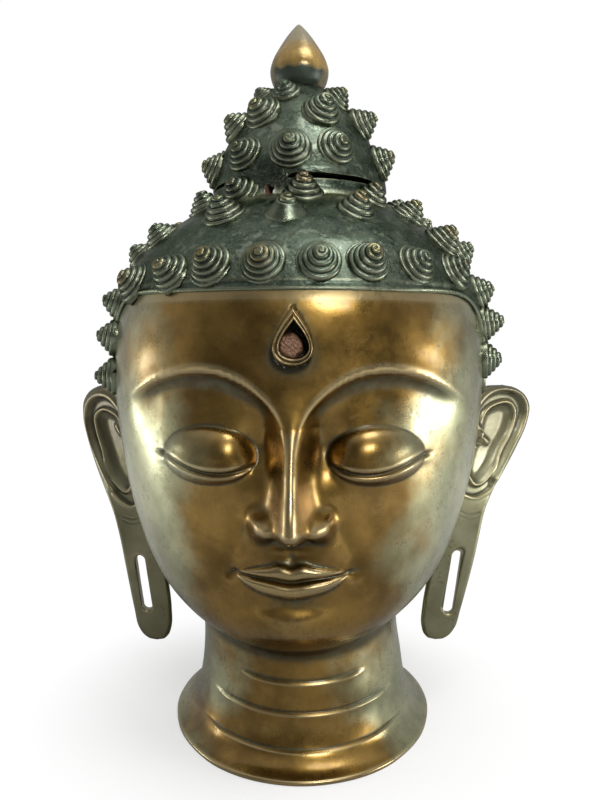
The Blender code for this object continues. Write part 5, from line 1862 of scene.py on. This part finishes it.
for (u0, v0), (u1, v1) in CRACKS:
    ends = ((DEGREE_AT_FOOT * u0, v0), (DEGREE_AT_FOOT * u1, v1))
    gap = distance_from_segment(DEGREE_AT_FOOT * u, v, *ends)
    cap_out = cap_out - CRACK_DEPTH * swell(gap, CRACK_WIDTH) + BURR_OUT * swell(gap - 0.6, BURR_WIDTH)
cap_points = cap_base + cap_outward * cap_out[..., None]
foot_rows = []
for inset in CAP_FOOT_INSETS:
    row = cap_points[0].copy()
    radius = np.hypot(row[:, 0], row[:, 1])
    row[:, :2] *= ((radius - inset) / radius)[:, None]
    lift_here = np.maximum(lift[0], 0.0) if inset > 0.002 else lift[0]
    row[:, 2] = CAP_FOOT + lift_here * (1.0 - smooth_step(0.012, 0.030, inset))
    foot_rows.append(row)
cap_points[0, :, 2] += CAP_EDGE_ROUNDING
cap_points = np.concatenate((np.array(foot_rows), cap_points))
cap = grid_piece("topknot_cap_skin", cap_points, (0, 0, CAP_FOOT), (0, 0, CAP_TOP))
cap.data.materials.append(dark_patina)
mark_edges(cap, rounds=8, size=0.0004)
finish_piece(cap, "topknot_cap")

cap_places = list(CAP_CURLS)
for share, turns in CAP_CURLS_BEHIND:
    for turn in turns:
        cap_places.append((turn, 1000 * (CAP_FOOT + share * (CAP_TOP - CAP_FOOT))))
cap_curls = curl_cluster("cap_curls", cap_places, on_cap, 23)
finish_piece(cap_curls, "topknot_cap")


# Jewel: a pointed lotus bud on the cap, polished and rubbed to golden brown.
# It is cast with the cap; only its foot is sunk between the topmost curls.
JEWEL_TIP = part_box("topknot_cap")[1].z
JEWEL_RADIUS = 0.0176
JEWEL_LENGTH = 0.0390
# Outline, foot to tip: share of the length, share of the radius
JEWEL_OUTLINE = (
    (0.00, 0.78),
    (0.09, 0.91),
    (0.19, 0.98),
    (0.29, 1.00),
    (0.39, 0.95),
    (0.49, 0.86),
    (0.58, 0.745),
    (0.68, 0.605),
    (0.76, 0.485),
    (0.86, 0.315),
    (0.94, 0.160),
    (0.985, 0.055),
    (1.00, 0.0),
)
JEWEL_COLUMNS = 96
JEWEL_ROWS = 90
JEWEL_LEAN = -0.0004
JEWEL_SUNK = 0.006
# Colours: golden patches, grey tip, dull lower side, stains, and the dark foot of patina with a painted
# reflection of the dark cap in front
JEWEL_GOLD = ((0.20, 0.125, 0.036, 1), (0.37, 0.245, 0.072, 1))
JEWEL_GREYED = (0.215, 0.195, 0.125, 1)
JEWEL_DULL = (0.130, 0.125, 0.075, 1)
JEWEL_STAIN = (0.10, 0.07, 0.04, 1)
JEWEL_PATINA_AND_REFLECTION = (0.030, 0.042, 0.028, 1)
# Heights between which they set in, and how far in front the dark foot does
GREYED_BAND = (JEWEL_TIP - 0.0185, JEWEL_TIP - 0.0095)
DULL_BAND = (JEWEL_TIP - 0.026, JEWEL_TIP - 0.032)
PATINA_BAND = (JEWEL_TIP - 0.0290, JEWEL_TIP - 0.0308)
REFLECTION_IN_FRONT = (-0.0075, -0.0115)

outline = np.array(JEWEL_OUTLINE)
knots = running_total(np.hypot(np.diff(outline[:, 0]) * 2.2, np.diff(outline[:, 1])))
outline = curve_through(knots, outline, np.linspace(0.0, knots[-1], JEWEL_ROWS))
angle = np.linspace(0.0, 2 * math.pi, JEWEL_COLUMNS, endpoint=False)
radius = JEWEL_RADIUS * np.maximum(outline[:, 1:], 0.0)
height = JEWEL_TIP - JEWEL_LENGTH * (1.0 - np.clip(outline[:, :1], 0.0, 1.0))
jewel_points = ring(radius, angle, height)
jewel_points[..., 0] += JEWEL_LEAN * outline[:, :1] ** 2
foot = jewel_points[0] - (0, 0, JEWEL_SUNK)
jewel_points = np.concatenate((foot[None], jewel_points[:-1]))
jewel = grid_piece("jewel", jewel_points, foot.mean(axis=0), (JEWEL_LEAN, 0, JEWEL_TIP))


def jewel_look(tree):
    """Copper handled to a golden sheen, greyed at the tip, dark at its foot with patina and, in front, a
    painted reflection of the dark cap.
    """
    place = node(tree, "ShaderNodeTexCoord").outputs["Object"]
    parts = node(tree, "ShaderNodeSeparateXYZ", {0: place}).outputs
    cloudy = clouds(tree, place, 60.0, 6.0, 0.62, (1.0, 1.0, 0.6))
    height = sum_of(tree, parts["Z"], spread(tree, cloudy, 0.3, 0.7, -0.0015, 0.0015))
    color = blend(tree, spread(tree, cloudy, 0.34, 0.68), *JEWEL_GOLD)
    color = blend(tree, spread(tree, height, *GREYED_BAND, 0.0, 0.90), color, JEWEL_GREYED)
    color = blend(tree, spread(tree, height, *DULL_BAND, 0.0, 0.8), color, JEWEL_DULL)
    stain = product(tree, spread(tree, clouds(tree, place, 420.0, 4.0, 0.7), 0.56, 0.68), 0.35)
    color = blend(tree, stain, color, JEWEL_STAIN)
    # Painted reflection of the dark cap on the front of the foot, on top of its patina
    in_front = spread(tree, parts["Y"], *REFLECTION_IN_FRONT)
    foot = product(tree, spread(tree, height, *PATINA_BAND), in_front)
    color = blend(tree, foot, color, JEWEL_PATINA_AND_REFLECTION)
    rough = spread(tree, clouds(tree, place, 200.0, 5.0, 0.65), 0.3, 0.75, 0.20, 0.32)
    rough = sum_of(tree, rough, product(tree, foot, 0.15))
    fine = product(tree, clouds(tree, place, 900.0, 3.0), 0.15)
    relief = sum_of(tree, clouds(tree, place, 160.0, 4.0), fine)
    return {
        "Base Color": color,
        "Metallic": 0.45,
        "Roughness": rough,
        "Normal": bump(tree, relief, 0.22, 0.0005),
    }


jewel.data.materials.append(principled("polished_copper", jewel_look))
finish_piece(jewel, "topknot_cap")


# Stage: pale floor, white studio surroundings with soft light boxes, and the camera.
# Broad light comes from both sides and above; the camera's side stays dim.
ROOM_FRONT = 0.20
ROOM_SIDE = 0.58
ROOM_BACK = 0.42
ROOM_ABOVE = 0.38
# Soft boxes: name, place, width and height, power
SOFT_BOXES = (
    ("left_box", (-1.05, 0.06, 0.08), (0.22, 0.42), 2.2),
    ("right_box", (1.05, -0.22, 0.08), (0.34, 0.50), 5.8),
    ("top_box", (0.30, -0.30, 1.25), (0.5, 0.4), 5.0),
    ("front_box", (0.46, -1.13, 0.83), (0.46, 0.26), 7.6),
)
SOFT_BOX_AIM = (0.0, 0.0, 0.2)
FLOOR_RADII = (0.05, 3.0)
PAPER = ((0.86, 0.86, 0.86, 1), (0.90, 0.90, 0.90, 1))
BLACK = (0.0, 0.0, 0.0, 1)
WHITE = (1.0, 1.0, 1.0, 1)
# Distance from the middle between which the paper brightens to white in the picture,
# and distance aside within which its mirror image is held back as painted shade
PAPER_BRIGHTENS = (0.07, 0.20)
MIRROR_HELD_BACK = (0.45, 0.12)

around = np.linspace(0, 2 * math.pi, 64, endpoint=False)
floor_rings = np.array([ring(radius, around, 0.0) for radius in FLOOR_RADII])
stage_floor = grid_piece("floor", floor_rings, (0, 0, 0))


def floor_look(tree):
    """White paper with the faintest mottling, and painted shade on its mirror image near the middle."""
    place = node(tree, "ShaderNodeTexCoord").outputs["Object"]
    color = blend(tree, clouds(tree, place, 9.0), *PAPER)
    rays = node(tree, "ShaderNodeLightPath").outputs
    distance = node(tree, "ShaderNodeVectorMath", {0: place}, operation="LENGTH").outputs["Value"]
    bright = spread(tree, distance, *PAPER_BRIGHTENS, 0.50, 1.0)
    away = product(tree, rays["Is Camera Ray"], bright)
    x = node(tree, "ShaderNodeSeparateXYZ", {0: place}).outputs["X"]
    aside = node(tree, "ShaderNodeMath", {0: x}, operation="ABSOLUTE").outputs[0]
    # Painted shade: the paper looks darker in mirror images near the middle
    held_back = spread(tree, aside, *MIRROR_HELD_BACK, 0.0, 0.50)
    color = blend(tree, product(tree, rays["Is Glossy Ray"], held_back), color, BLACK)
    color = blend(tree, away, color, BLACK)
    return {"Base Color": color, "Roughness": 0.9, "Emission Color": WHITE, "Emission Strength": away}


stage_floor.data.materials.append(principled("white_paper", floor_look))

world = bpy.data.worlds.new("studio")
bpy.context.scene.world = world
world.use_nodes = True
tree = world.node_tree
tree.nodes.clear()
direction = node(tree, "ShaderNodeTexCoord").outputs["Generated"]
parts = node(tree, "ShaderNodeSeparateXYZ", {0: direction})
to_camera = node(tree, "ShaderNodeMath", {0: parts.outputs["Y"], 1: -1.0}, operation="MULTIPLY").outputs[0]
sides = spread(tree, to_camera, 0.70, 0.10, ROOM_FRONT, ROOM_SIDE)
behind = spread(tree, to_camera, -0.30, -0.80, 0.0, ROOM_BACK - ROOM_SIDE)
above = spread(tree, parts.outputs["Z"], 0.60, 0.95, 0.0, ROOM_ABOVE)
strength = sum_of(tree, sides, behind, above)
seen = node(tree, "ShaderNodeLightPath").outputs["Is Camera Ray"]
strength = node(tree, "ShaderNodeMix", {0: seen, 2: strength, 3: 1.0}, data_type="FLOAT").outputs[0]
background = node(tree, "ShaderNodeBackground", {"Color": WHITE, "Strength": strength})
node(tree, "ShaderNodeOutputWorld", {"Surface": background.outputs[0]})

for name, place, size, power in SOFT_BOXES:
    lamp = bpy.data.lights.new(name, "AREA")
    lamp.shape = "RECTANGLE"
    lamp.size, lamp.size_y = size
    lamp.energy = power
    box = bpy.data.objects.new(name, lamp)
    box.location = place
    box.rotation_euler = (Vector(SOFT_BOX_AIM) - Vector(place)).to_track_quat("-Z", "Y").to_euler()
    bpy.context.scene.collection.objects.link(box)

CAMERA_DISTANCE = 0.467
CAMERA_HEIGHT = 0.231
CAMERA_TURN = math.radians(2.0)
CAMERA_PITCH = math.radians(4.57)
CAMERA_SENSOR = 36.0
CAMERA_LENS = 33.75
camera_data = bpy.data.cameras.new("camera")
camera_data.sensor_fit = "VERTICAL"
camera_data.sensor_height = CAMERA_SENSOR
camera_data.sensor_width = CAMERA_SENSOR
camera_data.lens = CAMERA_LENS
camera_data.clip_start = 0.01
camera = bpy.data.objects.new("camera", camera_data)
camera.location = (
    CAMERA_DISTANCE * math.sin(CAMERA_TURN),
    -CAMERA_DISTANCE * math.cos(CAMERA_TURN),
    CAMERA_HEIGHT,
)
camera.rotation_euler = (math.radians(90.0) - CAMERA_PITCH, 0.0, CAMERA_TURN)
bpy.context.scene.collection.objects.link(camera)
bpy.context.scene.camera = camera
bpy.context.scene.view_settings.view_transform = "Standard"
